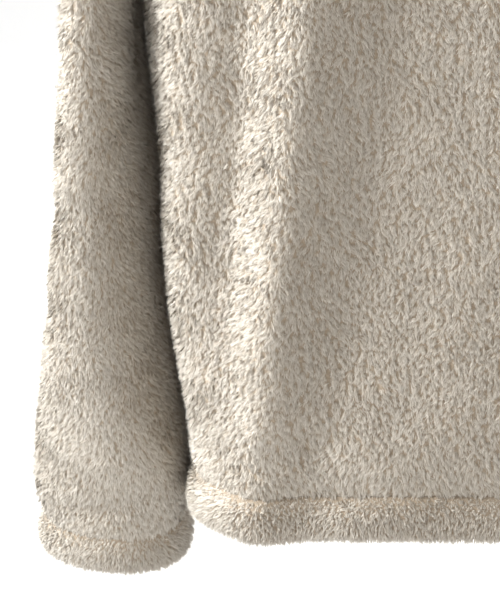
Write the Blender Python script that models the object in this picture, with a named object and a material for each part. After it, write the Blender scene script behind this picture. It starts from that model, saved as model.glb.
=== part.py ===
"""A long-pile fleece zip-up jacket, zipped to the top and filled out as worn, with nobody in it.

Metres, +Z up. The front faces -Y and the wearer's left is +X. The origin lies between the two
neck points, where the wearer's shoulders carry the jacket.

Every cloth piece is a closed wall: a grid of outer points on one smooth form and a grid of
inner points one wall thickness behind them. The body is a stack of sections up to the underarm
and bends in to the armholes, shoulders and neckline above it. Neighbouring pieces share the
points of their seam and stand a seam gap apart.
"""

import math
from collections import namedtuple

import bmesh
import bpy
import numpy as np

ACROSS = np.array([1.0, 0.0, 0.0])
RIM_ORDER = np.array([1.0, 0.37, 0.11])  # orders two neighbouring points of a seam

# Cloth
WALL = 0.007  # 1.5 mm of knit backing under 5.5 mm of pile
SEAM_GAP = 0.0003
EDGE_THIN = 0.6  # share of the wall left along a turned edge
EDGE_SINK = 0.0016  # how far the face of a turned edge rounds off

# Heights
HEM_SEAM_Z = -0.625
UNDERARM_Z = -0.262
HEM_CENTRE_LIFT = 0.005  # the hem rises a little at the centre back
HEM_LIFT_FADES = 0.16  # the lift's height
HEM_LIFT_ENDS = 0.6  # where it has died away, as a share of the way round to the side

# Neck and shoulders, at the outer face of the cloth
NECK_HALF_WIDTH = 0.080
NECK_POINT_Y = 0.004
NECK_BACK = (0.074, 0.014)  # y and z at the centre back
NECK_FRONT = (-0.092, -0.064)  # y and z at the centre front
SHOULDER_TIP = (0.206, 0.001, -0.047)
SHOULDER_RISE = 0.006
NECK_DROP_POWER = {"back": 1.0, "front": 1.3}
FOLDS_FADE = 0.05  # folds die away this far below the neck points

# Grid counts
QUARTER_STEPS = 121  # points along a quarter section, to measure its length
SHARP_ANGLE = 50  # degrees between two faces, past which their edge is drawn sharp
SECTION_STEP = 0.004  # between two sections, to find the body's slope
RING_STEP = 0.002  # between two places on a sleeve's centre line, to find its slope
NECK_COLUMNS = {"back": 5, "front": 5}
ZIP_EDGE_SHARE = 0.04  # the fronts have one more column, where the edge beside the zip ends
SHOULDER_COLUMNS = 9
COLUMN_CROWDING = 0.85  # columns lie closer towards the sides
LOWER_ROWS = 16
HEM_ROW_SHARES = (0.0, 0.03, 0.075)  # the first three rows lie close together
ARMHOLE_ROWS = 10
CAP_ROWS = 7
SLEEVE_ROWS = 17
COLLAR_ROWS = 5
UNDERARM = LOWER_ROWS  # the row at the underarm
TOP = LOWER_ROWS + ARMHOLE_ROWS  # the row at the neckline and shoulder seams

# Zip, along the centre front
ZIP_HALF_GAP = 0.005  # the chain shows between the front edges
TAPE_INNER_X = 0.0032
TAPE_OUTER_X = 0.015
TAPE_THICKNESS = 0.001
TAPE_BEHIND = 0.0004  # behind the cloth's inner face
TAPE_TAIL_OUTER_X = 0.0047  # its tail stands between the ends of the hem band
TAPE_TAIL = 0.0225
CHAIN_HALF_WIDTH = 0.0028
CHAIN_THICKNESS = 0.0026

# The body's sections, bottom to top. Depths are from the side seam's line.
Section = namedtuple("Section", "z half_width back_depth front_depth side_y back_square front_square")
BODY_SECTIONS = (
    Section(-0.625, 0.2060, 0.1020, 0.1080, 0.000, 3.1, 2.8),
    Section(-0.612, 0.2088, 0.1060, 0.1120, 0.000, 3.1, 2.8),
    Section(-0.590, 0.2108, 0.1090, 0.1150, 0.000, 3.0, 2.7),
    Section(-0.552, 0.2170, 0.1085, 0.1170, 0.000, 2.9, 2.7),
    Section(-0.500, 0.2255, 0.1060, 0.1180, 0.001, 2.8, 2.7),
    Section(-0.440, 0.2294, 0.1065, 0.1185, 0.002, 2.7, 2.6),
    Section(-0.380, 0.2306, 0.1110, 0.1200, 0.002, 2.6, 2.5),
    Section(-0.310, 0.2380, 0.1185, 0.1210, 0.001, 2.6, 2.4),
    Section(-0.262, 0.2430, 0.1210, 0.1200, 0.000, 2.6, 2.4),
)

# Above the underarm each column of the body is one curve. It leaves the underarm upwards at the
# centre line and towards the armhole at the side, and it arrives at the top edge along these.
ARMHOLE_WAY = (-0.30, 0.95, 0.16)
ARMHOLE_PULL = 7  # the power of the share: only the last columns turn to the armhole
LEAVE_REACH = (0.105, 0.088)  # the length of the curve's first handle, at the centre and the side
Arrival = namedtuple("Arrival", "inward onward up reach")
ARRIVALS = {
    "back": (
        Arrival(0.00, -0.42, 0.90, 0.060),  # centre line
        Arrival(-0.50, -0.90, 0.38, 0.075),  # neck point
        Arrival(-0.12, -1.00, 0.06, 0.085),  # on the shoulder
        Arrival(0.00, -1.00, 0.00, 0.080),  # shoulder tip
    ),
    "front": (
        Arrival(0.00, -0.10, 0.98, 0.060),
        Arrival(-0.50, -0.85, 0.42, 0.075),
        Arrival(-0.12, -1.00, 0.08, 0.085),
        Arrival(0.00, -1.00, 0.00, 0.080),
    ),
}
ON_SHOULDER = 0.4  # the third arrival's place from the neck point to the tip

# The left sleeve's sections, top to bottom, along its centre line. "yaw" turns a section so that
# its front edge swings in towards the body, in degrees.
Ring = namedtuple("Ring", "x y z half_width half_depth square yaw")
SLEEVE_RINGS = (
    Ring(0.2712, -0.001, -0.300, 0.0262, 0.0680, 2.5, 10),
    Ring(0.2706, -0.004, -0.345, 0.0286, 0.0660, 2.5, 14),
    Ring(0.2688, -0.012, -0.420, 0.0324, 0.0620, 2.4, 25),
    Ring(0.2709, -0.022, -0.500, 0.0392, 0.0590, 2.4, 30),
    Ring(0.2722, -0.030, -0.555, 0.0482, 0.0560, 2.4, 31),
    Ring(0.2722, -0.037, -0.600, 0.0576, 0.0515, 2.4, 25),
    Ring(0.2724, -0.043, -0.635, 0.0620, 0.0470, 2.4, 16),
    Ring(0.2725, -0.046, -0.655, 0.0622, 0.0455, 2.4, 12),
    Ring(0.2719, -0.049, -0.672, 0.0592, 0.0440, 2.3, 11),
    Ring(0.2718, -0.052, -0.682, 0.0566, 0.0420, 2.3, 11),
)

# The sleeve's cap leaves the armhole sideways; "away" is how much so, at turns round it from the
# underarm by way of the back.
Leave = namedtuple("Leave", "turn away")
CAP_LEAVES = (
    Leave(0.00, 0.75),
    Leave(0.12, 0.95),
    Leave(0.25, 0.92),
    Leave(0.50, 0.93),
    Leave(0.75, 0.92),
    Leave(0.88, 0.95),
    Leave(1.00, 0.75),
)
CAP_SPREAD = 0.28  # its sides swell to the back and the front by this much
CAP_REACH = 0.38  # both handles of its curve, as a share of the cap's length
CAP_FOLDS_FADE = 0.3  # folds die away over this share of the cap

# Folds: soft troughs (depth below 0) and ridges. "along" is the distance round from the
# panel's centre line and "z" the height, both at the fold's two ends; "bow" pushes its middle
# sideways.
FOLD_END = 0.08  # a fold ends at this share of a half wave, raised to the power
FOLD_END_POWER = 0.7
Fold = namedtuple("Fold", "along0 z0 along1 z1 bow half_width depth")
BODY_FOLDS = {
    ("back", 1): (
        Fold(0.115, -0.150, 0.166, -0.655, 0.000, 0.021, 0.0120),
        Fold(0.173, -0.215, 0.193, -0.515, 0.000, 0.021, -0.0145),
        Fold(0.050, -0.170, 0.122, -0.640, 0.002, 0.024, -0.0065),
        Fold(0.020, -0.200, 0.080, -0.600, 0.002, 0.046, -0.0085),
        Fold(0.234, -0.210, 0.230, -0.475, 0.002, 0.015, 0.0055),
        Fold(0.262, -0.270, 0.250, -0.440, 0.002, 0.014, 0.0020),
        Fold(0.105, -0.575, 0.190, -0.600, 0.004, 0.011, -0.0035),
    ),
    ("back", -1): (
        Fold(0.118, -0.140, 0.168, -0.600, -0.003, 0.020, 0.0075),
        Fold(0.070, -0.230, 0.122, -0.640, 0.003, 0.022, -0.0095),
        Fold(0.215, -0.190, 0.196, -0.560, 0.004, 0.015, -0.0075),
        Fold(0.250, -0.300, 0.246, -0.520, 0.002, 0.014, 0.0040),
        Fold(0.140, -0.500, 0.150, -0.660, 0.002, 0.020, -0.0060),
    ),
    ("front", 1): (
        Fold(0.120, -0.160, 0.150, -0.610, 0.004, 0.020, 0.0070),
        Fold(0.070, -0.240, 0.105, -0.650, 0.004, 0.024, -0.0085),
        Fold(0.205, -0.200, 0.195, -0.540, -0.004, 0.016, -0.0070),
        Fold(0.060, -0.560, 0.175, -0.590, 0.004, 0.012, -0.0030),
    ),
    ("front", -1): (
        Fold(0.104, -0.170, 0.142, -0.580, 0.003, 0.021, 0.0065),
        Fold(0.148, -0.270, 0.178, -0.650, 0.003, 0.020, -0.0080),
        Fold(0.215, -0.190, 0.208, -0.480, 0.003, 0.015, -0.0070),
        Fold(0.050, -0.300, 0.062, -0.600, 0.003, 0.022, -0.0050),
    ),
}
# On a sleeve "along" is the share of the way round: 0 at the body, 0.25 behind, 0.5 outside.
SLEEVE_FOLDS = {
    1: (
        Fold(0.10, -0.395, 0.40, -0.430, 0.010, 0.012, -0.0040),
        Fold(0.30, -0.505, 0.62, -0.540, -0.012, 0.013, -0.0040),
        Fold(0.14, -0.655, 0.36, -0.668, 0.006, 0.010, -0.0045),
        Fold(0.55, -0.200, 0.80, -0.300, 0.010, 0.015, -0.0045),
        Fold(0.68, -0.430, 0.95, -0.470, 0.010, 0.014, -0.0055),
        Fold(0.62, -0.600, 0.90, -0.625, 0.008, 0.013, -0.0045),
    ),
    -1: (
        Fold(0.12, -0.370, 0.42, -0.420, 0.010, 0.013, -0.0045),
        Fold(0.26, -0.480, 0.60, -0.500, 0.010, 0.012, -0.0035),
        Fold(0.16, -0.640, 0.44, -0.660, 0.006, 0.010, -0.0045),
        Fold(0.58, -0.210, 0.82, -0.290, 0.010, 0.015, -0.0040),
        Fold(0.66, -0.450, 0.96, -0.480, 0.010, 0.015, -0.0055),
        Fold(0.60, -0.590, 0.88, -0.620, 0.008, 0.013, -0.0040),
    ),
}

# Turned casings: a closed loop of points round the band's cut, from the seam's outer point down
# the face, round the bottom and up the inside. "out" is beyond the cloth's face.
Loop = namedtuple("Loop", "out down")
HEM_LOOP = (
    Loop(0.0000, 0.0000),
    Loop(0.0038, 0.0070),
    Loop(0.0046, 0.0160),
    Loop(0.0024, 0.0265),
    Loop(-0.0045, 0.0315),
    Loop(-0.0115, 0.0275),
    Loop(-0.0130, 0.0160),
    Loop(-0.0115, 0.0060),
    Loop(-WALL, 0.0000),
)
CUFF_LOOP = (
    Loop(0.0000, 0.0000),
    Loop(0.0034, 0.0065),
    Loop(0.0040, 0.0150),
    Loop(0.0012, 0.0250),
    Loop(-0.0060, 0.0300),
    Loop(-0.0120, 0.0260),
    Loop(-0.0128, 0.0150),
    Loop(-0.0112, 0.0060),
    Loop(-WALL, 0.0000),
)

COLLAR_CENTRE = (0.0, -0.010, 0.0)
# The collar's face at heights above the neckline: how far it leans in from there.
Lean = namedtuple("Lean", "height inward")
COLLAR_LEANS = (Lean(0.0, 0.0), Lean(0.020, 0.0030), Lean(0.045, 0.0045), Lean(0.066, 0.0060))

# Slider and pull tab, at the top of the zip
SLIDER_BELOW_TOP = 0.014  # the slider's middle, below the collar's top edge
SLIDER_HALF_WIDTH = 0.0044
SLIDER_CORE_HALF_WIDTH = 0.00285
SLIDER_HALF_DEPTH = 0.0027
SLIDER_SLOT_HALF_DEPTH = 0.0015  # the tapes pass through its slots
SLIDER_LENGTH = 0.0110
BRIDGE_ROOT = 0.0003  # sunk into the slider's face
BRIDGE_HALF_WIDTH = 0.0010
BRIDGE_HALF_LENGTH = 0.0046
BRIDGE_RISE = 0.0046
BRIDGE_BAR = 0.0013
PULL_BAR_RISE = 0.0018  # the hinge axis, above the slider's face
PULL_THICKNESS = 0.0013
# The tab's outline and its window, as halves: across, and below the hinge axis.
Outline = namedtuple("Outline", "across below")
PULL_OUTLINE = (
    Outline(0.0033, -0.0007),
    Outline(0.0033, 0.0058),
    Outline(0.0027, 0.0085),
    Outline(0.0031, 0.0225),
    Outline(0.0018, 0.0253),
)
PULL_WINDOW = (
    Outline(0.0016, 0.0007),
    Outline(0.0016, 0.0035),
    Outline(0.0016, 0.0058),
    Outline(0.0010, 0.0058),
    Outline(0.0004, 0.0058),
)

BOX_SIZE = (0.0042, 0.0022, 0.0080)  # half across, half deep, long
STOP_SIZE = (0.0005, 0.0029, 0.0012, 0.0040)  # nearest and furthest from the middle, half deep, long
STOP_BELOW_TOP = 0.0020

ROUND = 0.36  # the way round a sleeve in metres, for the folds' widths

CREAM = (0.62, 0.55, 0.45)
COLOURS = {
    "fleece": (CREAM, 0.95, 0.0),
    "tape": ((0.50, 0.43, 0.34), 0.8, 0.0),
    "teeth": ((0.55, 0.48, 0.39), 0.4, 0.0),
    "metal": ((0.55, 0.54, 0.52), 0.35, 1.0),
}


# ---------------------------------------------------------------- curves and grids


def smooth_value(places, values, x):
    """A smooth curve through a table's points, in cubic pieces."""
    places = np.asarray(places, float)
    values = np.asarray(values, float)
    slopes = np.gradient(values, places)
    i = np.clip(np.searchsorted(places, x) - 1, 0, len(places) - 2)
    step = places[i + 1] - places[i]
    t = (x - places[i]) / step
    start = (2 * t**3 - 3 * t**2 + 1) * values[i] + (t**3 - 2 * t**2 + t) * step * slopes[i]
    end = (3 * t**2 - 2 * t**3) * values[i + 1] + (t**3 - t**2) * step * slopes[i + 1]
    return start + end


def section_at(z):
    places = [section.z for section in BODY_SECTIONS]
    columns = zip(*BODY_SECTIONS)
    return Section(*(float(smooth_value(places, column, z)) for column in columns))


def superellipse(half_width, depth, square, angles):
    """Points at these angles from the depth axis towards the width axis."""
    across = np.abs(np.sin(angles) / half_width) ** square
    along = np.abs(np.cos(angles) / depth) ** square
    radius = (across + along) ** (-1 / square)
    return radius * np.sin(angles), radius * np.cos(angles)


def even_quarter(half_width, depth, square, shares):
    """Points at shares of the length of a quarter section, from its centre line to its side."""
    x, y = superellipse(half_width, depth, square, np.linspace(0, math.pi / 2, QUARTER_STEPS))
    length = np.concatenate([[0], np.cumsum(np.hypot(np.diff(x), np.diff(y)))])
    return np.interp(shares * length[-1], length, x), np.interp(shares * length[-1], length, y)


def unit(vectors):
    return vectors / np.linalg.norm(vectors, axis=-1, keepdims=True)


def mix(first, second, share):
    return first * (1 - share) + second * share


def bezier(p0, p1, p2, p3, t):
    s = 1 - t
    return s**3 * p0 + 3 * s * s * t * p1 + 3 * s * t * t * p2 + t**3 * p3


def grid_normals(points, closed=False):
    """Unit normals of a grid whose rows go up and whose columns go anticlockwise, seen from above."""
    if closed:
        ring = np.concatenate([points[:, -1:], points, points[:, :1]], axis=1)
        round_it = (ring[:, 2:] - ring[:, :-2]) / 2
    else:
        round_it = np.gradient(points, axis=1)
    return unit(np.cross(round_it, np.gradient(points, axis=0)))


def fold_depth(folds, along, z):
    """How far the folds move a face out, at places given round it and up it."""
    total = np.zeros_like(along)
    for fold in folds:
        start = np.array([fold.along0, fold.z0])
        run = np.array([fold.along1, fold.z1]) - start
        length = np.linalg.norm(run)
        way = run / length
        from_start = np.stack([along, z], -1) - start
        share = np.clip(from_start @ way / length, 0, 1)
        bow = fold.bow * 4 * share * (1 - share)
        aside = from_start @ np.array([way[1], -way[0]]) - bow
        beyond = from_start @ way - share * length
        fade = np.sin(math.pi * mix(FOLD_END, 1 - FOLD_END, share)) ** FOLD_END_POWER
        nearness = (aside**2 + beyond**2) / fold.half_width**2
        total += fold.depth * fade * np.exp(-nearness)
    return total


# ---------------------------------------------------------------- the body's form


def lower_row(panel, shares, z):
    """One section's points from the centre line to the left side."""
    section = section_at(z)
    depth, square = section.back_depth, section.back_square
    if panel == "front":
        depth, square = section.front_depth, section.front_square
    x, y = even_quarter(section.half_width, depth, square, shares)
    sign = 1 if panel == "back" else -1
    lift = np.zeros_like(x)
    if panel == "back":
        near_hem = np.clip(1 - (z - HEM_SEAM_Z) / HEM_LIFT_FADES, 0, 1)
        near_centre = np.cos(np.minimum(shares / HEM_LIFT_ENDS, 1) * math.pi / 2)
        lift = HEM_CENTRE_LIFT * near_hem**2 * near_centre**2
    return np.stack([x, section.side_y + sign * y, z + lift], -1)


def top_row(panel, shares):
    """The neckline from the centre line to the neck point, then the shoulder seam."""
    neck_y, neck_z = NECK_BACK if panel == "back" else NECK_FRONT
    neck_share = panel_shares(panel)[NECK_COLUMNS[panel]]
    turn = np.minimum(shares / neck_share, 1) * math.pi / 2
    drop = np.cos(turn) ** NECK_DROP_POWER[panel]
    neck = np.stack(
        [NECK_HALF_WIDTH * np.sin(turn), mix(NECK_POINT_Y, neck_y, np.cos(turn)), neck_z * drop], -1
    )
    along = np.clip((shares - neck_share) / (1 - neck_share), 0, 1)[:, None]
    tip = np.array(SHOULDER_TIP)
    start = np.array([NECK_HALF_WIDTH, NECK_POINT_Y, 0.0])
    shoulder = mix(start, tip, along) + SHOULDER_RISE * np.sin(math.pi * along) * np.array([0, 0, 1.0])
    return np.where((shares <= neck_share)[:, None], neck, shoulder)


def upper_rows(panel, shares, heights):
    """Rows from the underarm (height 0) to the neckline and shoulder seam (height 1)."""
    sign = 1.0 if panel == "back" else -1.0
    start = lower_row(panel, shares, UNDERARM_Z)
    top = top_row(panel, shares)
    rise = unit(start - lower_row(panel, shares, UNDERARM_Z - SECTION_STEP))
    at_edge = (shares**ARMHOLE_PULL)[:, None]
    to_armhole = unit(np.array(ARMHOLE_WAY) * np.array([1, sign, 1]))
    leave = unit(mix(rise, to_armhole, at_edge)) * mix(*LEAVE_REACH, at_edge)
    neck_share = panel_shares(panel)[NECK_COLUMNS[panel]]
    places = [0.0, neck_share, mix(neck_share, 1.0, ON_SHOULDER), 1.0]
    arrivals = [smooth_value(places, column, shares) for column in zip(*ARRIVALS[panel])]
    inward, onward, up, reach = arrivals
    arrive = unit(np.stack([inward, sign * onward, up], -1)) * reach[:, None]
    t = heights[:, None, None]
    return bezier(start, start + leave, top - arrive, top, t)


def panel_shares(panel):
    """Where the columns lie, as shares from the centre line to the side, closer towards the side."""
    count = NECK_COLUMNS[panel] + SHOULDER_COLUMNS
    if panel == "back":
        return (np.arange(count + 1) / count) ** COLUMN_CROWDING
    regular = (np.arange(count) / (count - 1)) ** COLUMN_CROWDING
    return np.insert(regular, 1, ZIP_EDGE_SHARE)


def row_shares():
    """Where the lower rows lie, from the hem seam to the underarm, closer at the hem."""
    rest = np.linspace(HEM_ROW_SHARES[-1], 1, LOWER_ROWS + 2 - len(HEM_ROW_SHARES))
    return np.concatenate([HEM_ROW_SHARES[:-1], rest])


def half_body(panel, side, shares=None, lows=None, highs=None):
    """Outer points of half a panel: rows from the hem seam to the top, columns from the centre."""
    shares = panel_shares(panel) if shares is None else shares
    lows = row_shares() if lows is None else lows
    highs = np.arange(1, ARMHOLE_ROWS + 1) / ARMHOLE_ROWS if highs is None else highs
    low = [lower_row(panel, shares, mix(HEM_SEAM_Z, UNDERARM_Z, share)) for share in lows]
    points = np.concatenate([np.array(low), upper_rows(panel, shares, highs)])
    if panel == "front":
        points[:, :, 0] += ZIP_HALF_GAP * (1 - shares) ** 2
    steps = np.linalg.norm(np.diff(points, axis=1), axis=2)
    along = np.concatenate([np.zeros((len(points), 1)), np.cumsum(steps, axis=1)], axis=1)
    # These columns run clockwise on the back, seen from above, and the other way on the front.
    out = grid_normals(points) * (-1 if panel == "back" else 1)
    depth = fold_depth(BODY_FOLDS[panel, side], along, points[:, :, 2])
    if panel == "back":
        depth += fold_depth(BODY_FOLDS[panel, -side], -along, points[:, :, 2])
    below_neck = np.clip(-points[:, :, 2] / FOLDS_FADE, 0, 1)
    points = points + out * (depth * below_neck)[:, :, None]
    return points * np.array([side, 1, 1])


class Sheet:
    """A cloth wall: outer points, the way out of each, and small shifts that open the seams."""

    def __init__(self, points, closed=False):
        self.points = points
        self.closed = closed
        self.out = grid_normals(points, closed)
        self.shift = np.zeros_like(points)
        self.thickness = np.full(points.shape[:2], WALL)
        self.sink = np.zeros(points.shape[:2])
        # Which columns' faces split on the diagonal that leans the other way, so halves mirror.
        self.leans_back = np.zeros(points.shape[1], bool)

    def outer(self):
        return self.points + self.shift - self.out * self.sink[:, :, None]

    def inner(self):
        return self.points + self.shift - self.out * (self.sink + self.thickness)[:, :, None]

    def open_seam(self, where, inside):
        """Draws an edge back from its seam by half the gap."""
        way = seam_way(self.points[where], self.out[where], self.points[inside], self.closed)
        self.shift[where] += way * SEAM_GAP / 2

    def face_front(self, where):
        """Takes any sideways lean off the way out, along the centre front."""
        self.out[where] = unit(self.out[where] * np.array([0, 1, 1]))

    def turn_edge(self, where):
        """Rounds the face off and thins the wall along a row or column."""
        self.sink[where] = EDGE_SINK
        self.thickness[where] = WALL * EDGE_THIN

    def object(self, name, colour):
        return wall_object(name, self, colour)


def share_ways_out(sheets):
    """Gives points that lie on each other one way out, so that pieces meet squarely at a seam."""
    met = {}
    for sheet in sheets:
        for place in np.ndindex(sheet.points.shape[:2]):
            key = tuple(np.round(sheet.points[place], 6))
            met.setdefault(key, []).append((sheet, place))
    for places in met.values():
        if len(places) > 1:
            shared = unit(sum(sheet.out[place] for sheet, place in places))
            for sheet, place in places:
                sheet.out[place] = shared


def seam_way(points, out, inside, closed=False):
    """The way from a seam into the cloth, square to the seam and to its way out."""
    if closed:
        along = np.roll(points, -1, axis=0) - np.roll(points, 1, axis=0)
    else:
        along = np.gradient(points, axis=0)
    across = unit(np.cross(along, out))
    return across * np.sign(np.sum(across * (inside - points)))


# ---------------------------------------------------------------- meshes


def material(name, colour):
    base, roughness, metallic = COLOURS[colour]
    made = bpy.data.materials.new(name)
    made.use_nodes = True
    shader = made.node_tree.nodes["Principled BSDF"]
    shader.inputs["Base Color"].default_value = (*base, 1.0)
    shader.inputs["Roughness"].default_value = roughness
    shader.inputs["Metallic"].default_value = metallic
    return made


def mesh_object(name, points, faces, colour, origin=(0, 0, 0)):
    mesh = bpy.data.meshes.new(name)
    mesh.from_pydata([tuple(np.subtract(point, origin)) for point in points], [], faces)
    mesh.update()
    mesh.materials.append(material(name, colour))
    mesh.shade_smooth()
    mesh.set_sharp_from_angle(angle=math.radians(SHARP_ANGLE))
    made = bpy.data.objects.new(name, mesh)
    made.location = origin
    bpy.context.scene.collection.objects.link(made)
    return made


def split(corners):
    """Two triangles from a four-sided face, on the diagonal from its first corner."""
    a, b, c, d = corners
    return [[a, b, c], [a, c, d]]


def rim(run, first, second, second_in, first_in):
    """A seam's face between outer and inner points, on a diagonal that both its pieces choose."""
    corners = [first, second, second_in, first_in]
    if np.dot(run, RIM_ORDER) > 0:
        corners = corners[1:] + corners[:1]
    return split(corners)


def wall_object(name, sheet, colour):
    """A closed solid between two grids. Rows go up and columns go anticlockwise, from above."""
    outer, inner, closed = sheet.outer(), sheet.inner(), sheet.closed
    seam_points = sheet.points.reshape(-1, 3)
    rows, columns = outer.shape[:2]
    count = rows * columns
    points = np.concatenate([outer.reshape(-1, 3), inner.reshape(-1, 3)])
    faces = []

    def at(row, column):
        return row * columns + column % columns

    def add_rim(first, second):
        run = seam_points[first] - seam_points[second]
        faces.extend(rim(run, first, second, second + count, first + count))

    spans = range(columns if closed else columns - 1)
    for row in range(rows - 1):
        for column in spans:
            low, low2 = at(row, column), at(row, column + 1)
            high, high2 = at(row + 1, column), at(row + 1, column + 1)
            face = [low, low2, high2, high]
            if sheet.leans_back[column]:
                face = [low2, high2, high, low]
            faces.extend(split(face))
            faces.extend(split([count + face[k] for k in (2, 1, 0, 3)]))
    for column in spans:
        add_rim(at(0, column + 1), at(0, column))
        add_rim(at(rows - 1, column), at(rows - 1, column + 1))
    if not closed:
        for row in range(rows - 1):
            add_rim(at(row, 0), at(row + 1, 0))
            add_rim(at(row + 1, columns - 1), at(row, columns - 1))
    return mesh_object(name, points, faces, colour)


def band_object(name, edge, loops, closed, colour):
    """A solid swept along a seam's points, each with a closed loop of points round the cut."""
    stations, around = loops.shape[:2]
    points = loops.reshape(-1, 3)
    faces = []
    for station in range(stations if closed else stations - 1):
        here, after = station * around, (station + 1) % stations * around
        for k in range(around - 1):
            faces.extend(split([here + k, here + k + 1, after + k + 1, after + k]))
        last = around - 1
        run = edge[station] - edge[(station + 1) % stations]
        faces.extend(rim(run, here, after, after + last, here + last))
    if not closed:
        faces.append(list(reversed(range(around))))
        faces.append([(stations - 1) * around + k for k in range(around)])
    return mesh_object(name, points, faces, colour)


def prism_object(name, outline, low, high, place, colour):
    """An outline drawn anticlockwise, pushed through from low to high."""
    count = len(outline)
    points = [place(*point, low) for point in outline] + [place(*point, high) for point in outline]
    faces = [list(reversed(range(count))), [count + k for k in range(count)]]
    for k in range(count):
        k2 = (k + 1) % count
        faces.append([k, k2, count + k2, count + k])
    return mesh_object(name, points, faces, colour)


# ---------------------------------------------------------------- the pieces


def body_sheets():
    """The back from its left edge to its right one, and each front, left then right."""
    left, right = half_body("back", 1), half_body("back", -1)
    back = np.concatenate([left[:, ::-1], right[:, 1:]], axis=1)
    front_left, front_right = half_body("front", 1), half_body("front", -1)[:, ::-1]
    seam = LOWER_ROWS + 1
    front_left[:seam, -1] = back[:seam, 0]
    front_right[:seam, 0] = back[:seam, -1]
    shoulder = SHOULDER_COLUMNS + 1
    front_left[-1, -shoulder:] = back[-1, :shoulder][::-1]
    front_right[-1, :shoulder] = back[-1, -shoulder:][::-1]
    return Sheet(back), Sheet(front_left), Sheet(front_right)


def armhole_loop(back_edge, front_edge):
    """Twenty points from the underarm up the back edge to the shoulder tip and down the front."""
    return np.concatenate([back_edge, front_edge[-2:0:-1]])


def sleeve_frame(places):
    """Centres, and the ways across, behind and down, at places from 0 to 1 along the rings."""
    knots = np.linspace(0, 1, len(SLEEVE_RINGS))
    columns = [smooth_value(knots, column, places) for column in zip(*SLEEVE_RINGS)]
    ring = Ring(*columns)
    centres = np.stack([ring.x, ring.y, ring.z], -1)
    line = list(zip(*SLEEVE_RINGS))[:3]
    ahead = [smooth_value(knots, column, places + RING_STEP) for column in line]
    behind = [smooth_value(knots, column, places - RING_STEP) for column in line]
    down = unit(np.stack(ahead, -1) - np.stack(behind, -1))
    back = unit(np.cross(down, np.array([1.0, 0, 0])))
    back = np.where(back[:, 1:2] < 0, -back, back)
    across = np.cross(back, down)
    across = np.where(across[:, :1] < 0, -across, across)
    yaw = np.radians(ring.yaw)[:, None]
    turned_back = back * np.cos(yaw) + across * np.sin(yaw)
    turned_across = across * np.cos(yaw) - back * np.sin(yaw)
    return ring, centres, turned_across, turned_back, down


def sleeve_rings(places, turns):
    """Rings of points round the sleeve at turns from 0 (the body's side), by way of the back."""
    ring, centres, across, back, down = sleeve_frame(places)
    rings = []
    for k in range(len(places)):
        angles = turns * 2 * math.pi - math.pi / 2
        x, y = superellipse(ring.half_width[k], ring.half_depth[k], ring.square[k], angles)
        rings.append(centres[k] + x[:, None] * across[k] + y[:, None] * back[k])
    return np.array(rings), down


def sleeve_points(armhole, side, turns, cap_shares, places):
    """Outer points of a sleeve from the armhole down, worked out on the left."""
    rings, down = sleeve_rings(places, turns)
    first = rings[0]
    away = smooth_value(*zip(*CAP_LEAVES), turns)
    fall = -np.sqrt(1 - away**2)
    leave = unit(np.stack([away, CAP_SPREAD * np.sin(turns * 2 * math.pi), fall], -1))
    reach = np.linalg.norm(first - armhole, axis=-1)[:, None] * CAP_REACH
    t = np.array(cap_shares)[:, None, None]
    cap = bezier(armhole, armhole + leave * reach, first - down[0] * reach, first, t)
    points = np.concatenate([cap, rings[1:]])
    around = np.broadcast_to(turns, points.shape[:2])
    out = grid_normals(points, closed=True)
    folds = SLEEVE_FOLDS[side]
    scaled = [fold._replace(along0=fold.along0 * ROUND, along1=fold.along1 * ROUND) for fold in folds]
    depth = fold_depth(scaled, around * ROUND, points[:, :, 2])
    fade = np.ones(len(points))
    fade[: len(cap_shares)] = np.clip(np.array(cap_shares) / CAP_FOLDS_FADE, 0, 1)
    return points + out * (depth * fade[:, None])[:, :, None]


def sleeve_sheet(armhole, side):
    turns = np.arange(2 * ARMHOLE_ROWS) / (2 * ARMHOLE_ROWS)
    cap_shares = np.arange(CAP_ROWS + 1) / CAP_ROWS
    places = np.linspace(0, 1, SLEEVE_ROWS + 1)
    flip = np.array([side, 1, 1])
    points = sleeve_points(armhole * flip, side, turns, cap_shares, places) * flip
    if side < 0:
        points = np.roll(points[:, ::-1], 1, axis=1)
    return Sheet(points, closed=True)


def collar_sheet(neckline):
    inward = unit((np.array(COLLAR_CENTRE) - neckline) * np.array([1, 1, 0]))
    heights = np.linspace(0, COLLAR_LEANS[-1].height, COLLAR_ROWS + 1)
    leans = smooth_value(*zip(*COLLAR_LEANS), heights)
    up = np.array([0, 0, 1.0])
    return Sheet(np.array([neckline + up * h + inward * lean for h, lean in zip(heights, leans)]))


def casing(name, edge, out, down, loop, closed):
    """A turned casing below a seam, swept round its points."""
    way = seam_way(edge, out, edge + down, closed) * SEAM_GAP / 2
    loops = [edge + way + out * point.out + down * point.down for point in loop]
    return band_object(name, edge, np.stack(loops, axis=1), closed, "fleece")


def tape_grid(front, collar, side):
    """The tape's face just behind the front's and the collar's edge, with a tail below the seam."""
    edge, beside = (0, 1) if side > 0 else (-1, -2)
    first = np.concatenate([front.inner()[:, edge], collar.inner()[1:, edge]])
    second = np.concatenate([front.inner()[:, beside], collar.inner()[1:, beside]])
    out = unit(np.concatenate([front.out[:, edge], collar.out[1:, edge]]) * np.array([0, 1, 1]))
    columns = []
    for width in (TAPE_INNER_X, TAPE_OUTER_X):
        widths = np.full(len(first), width)
        widths[0] = min(width, TAPE_TAIL_OUTER_X)
        share = (side * widths - first[:, 0]) / (second[:, 0] - first[:, 0])
        columns.append(mix(first, second, share[:, None]) - out * TAPE_BEHIND)
    grid = np.stack(columns, axis=1)
    grid = np.concatenate([grid[:1] - np.array([0, 0, TAPE_TAIL]), grid])
    return grid[:, ::-1] if side < 0 else grid


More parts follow.
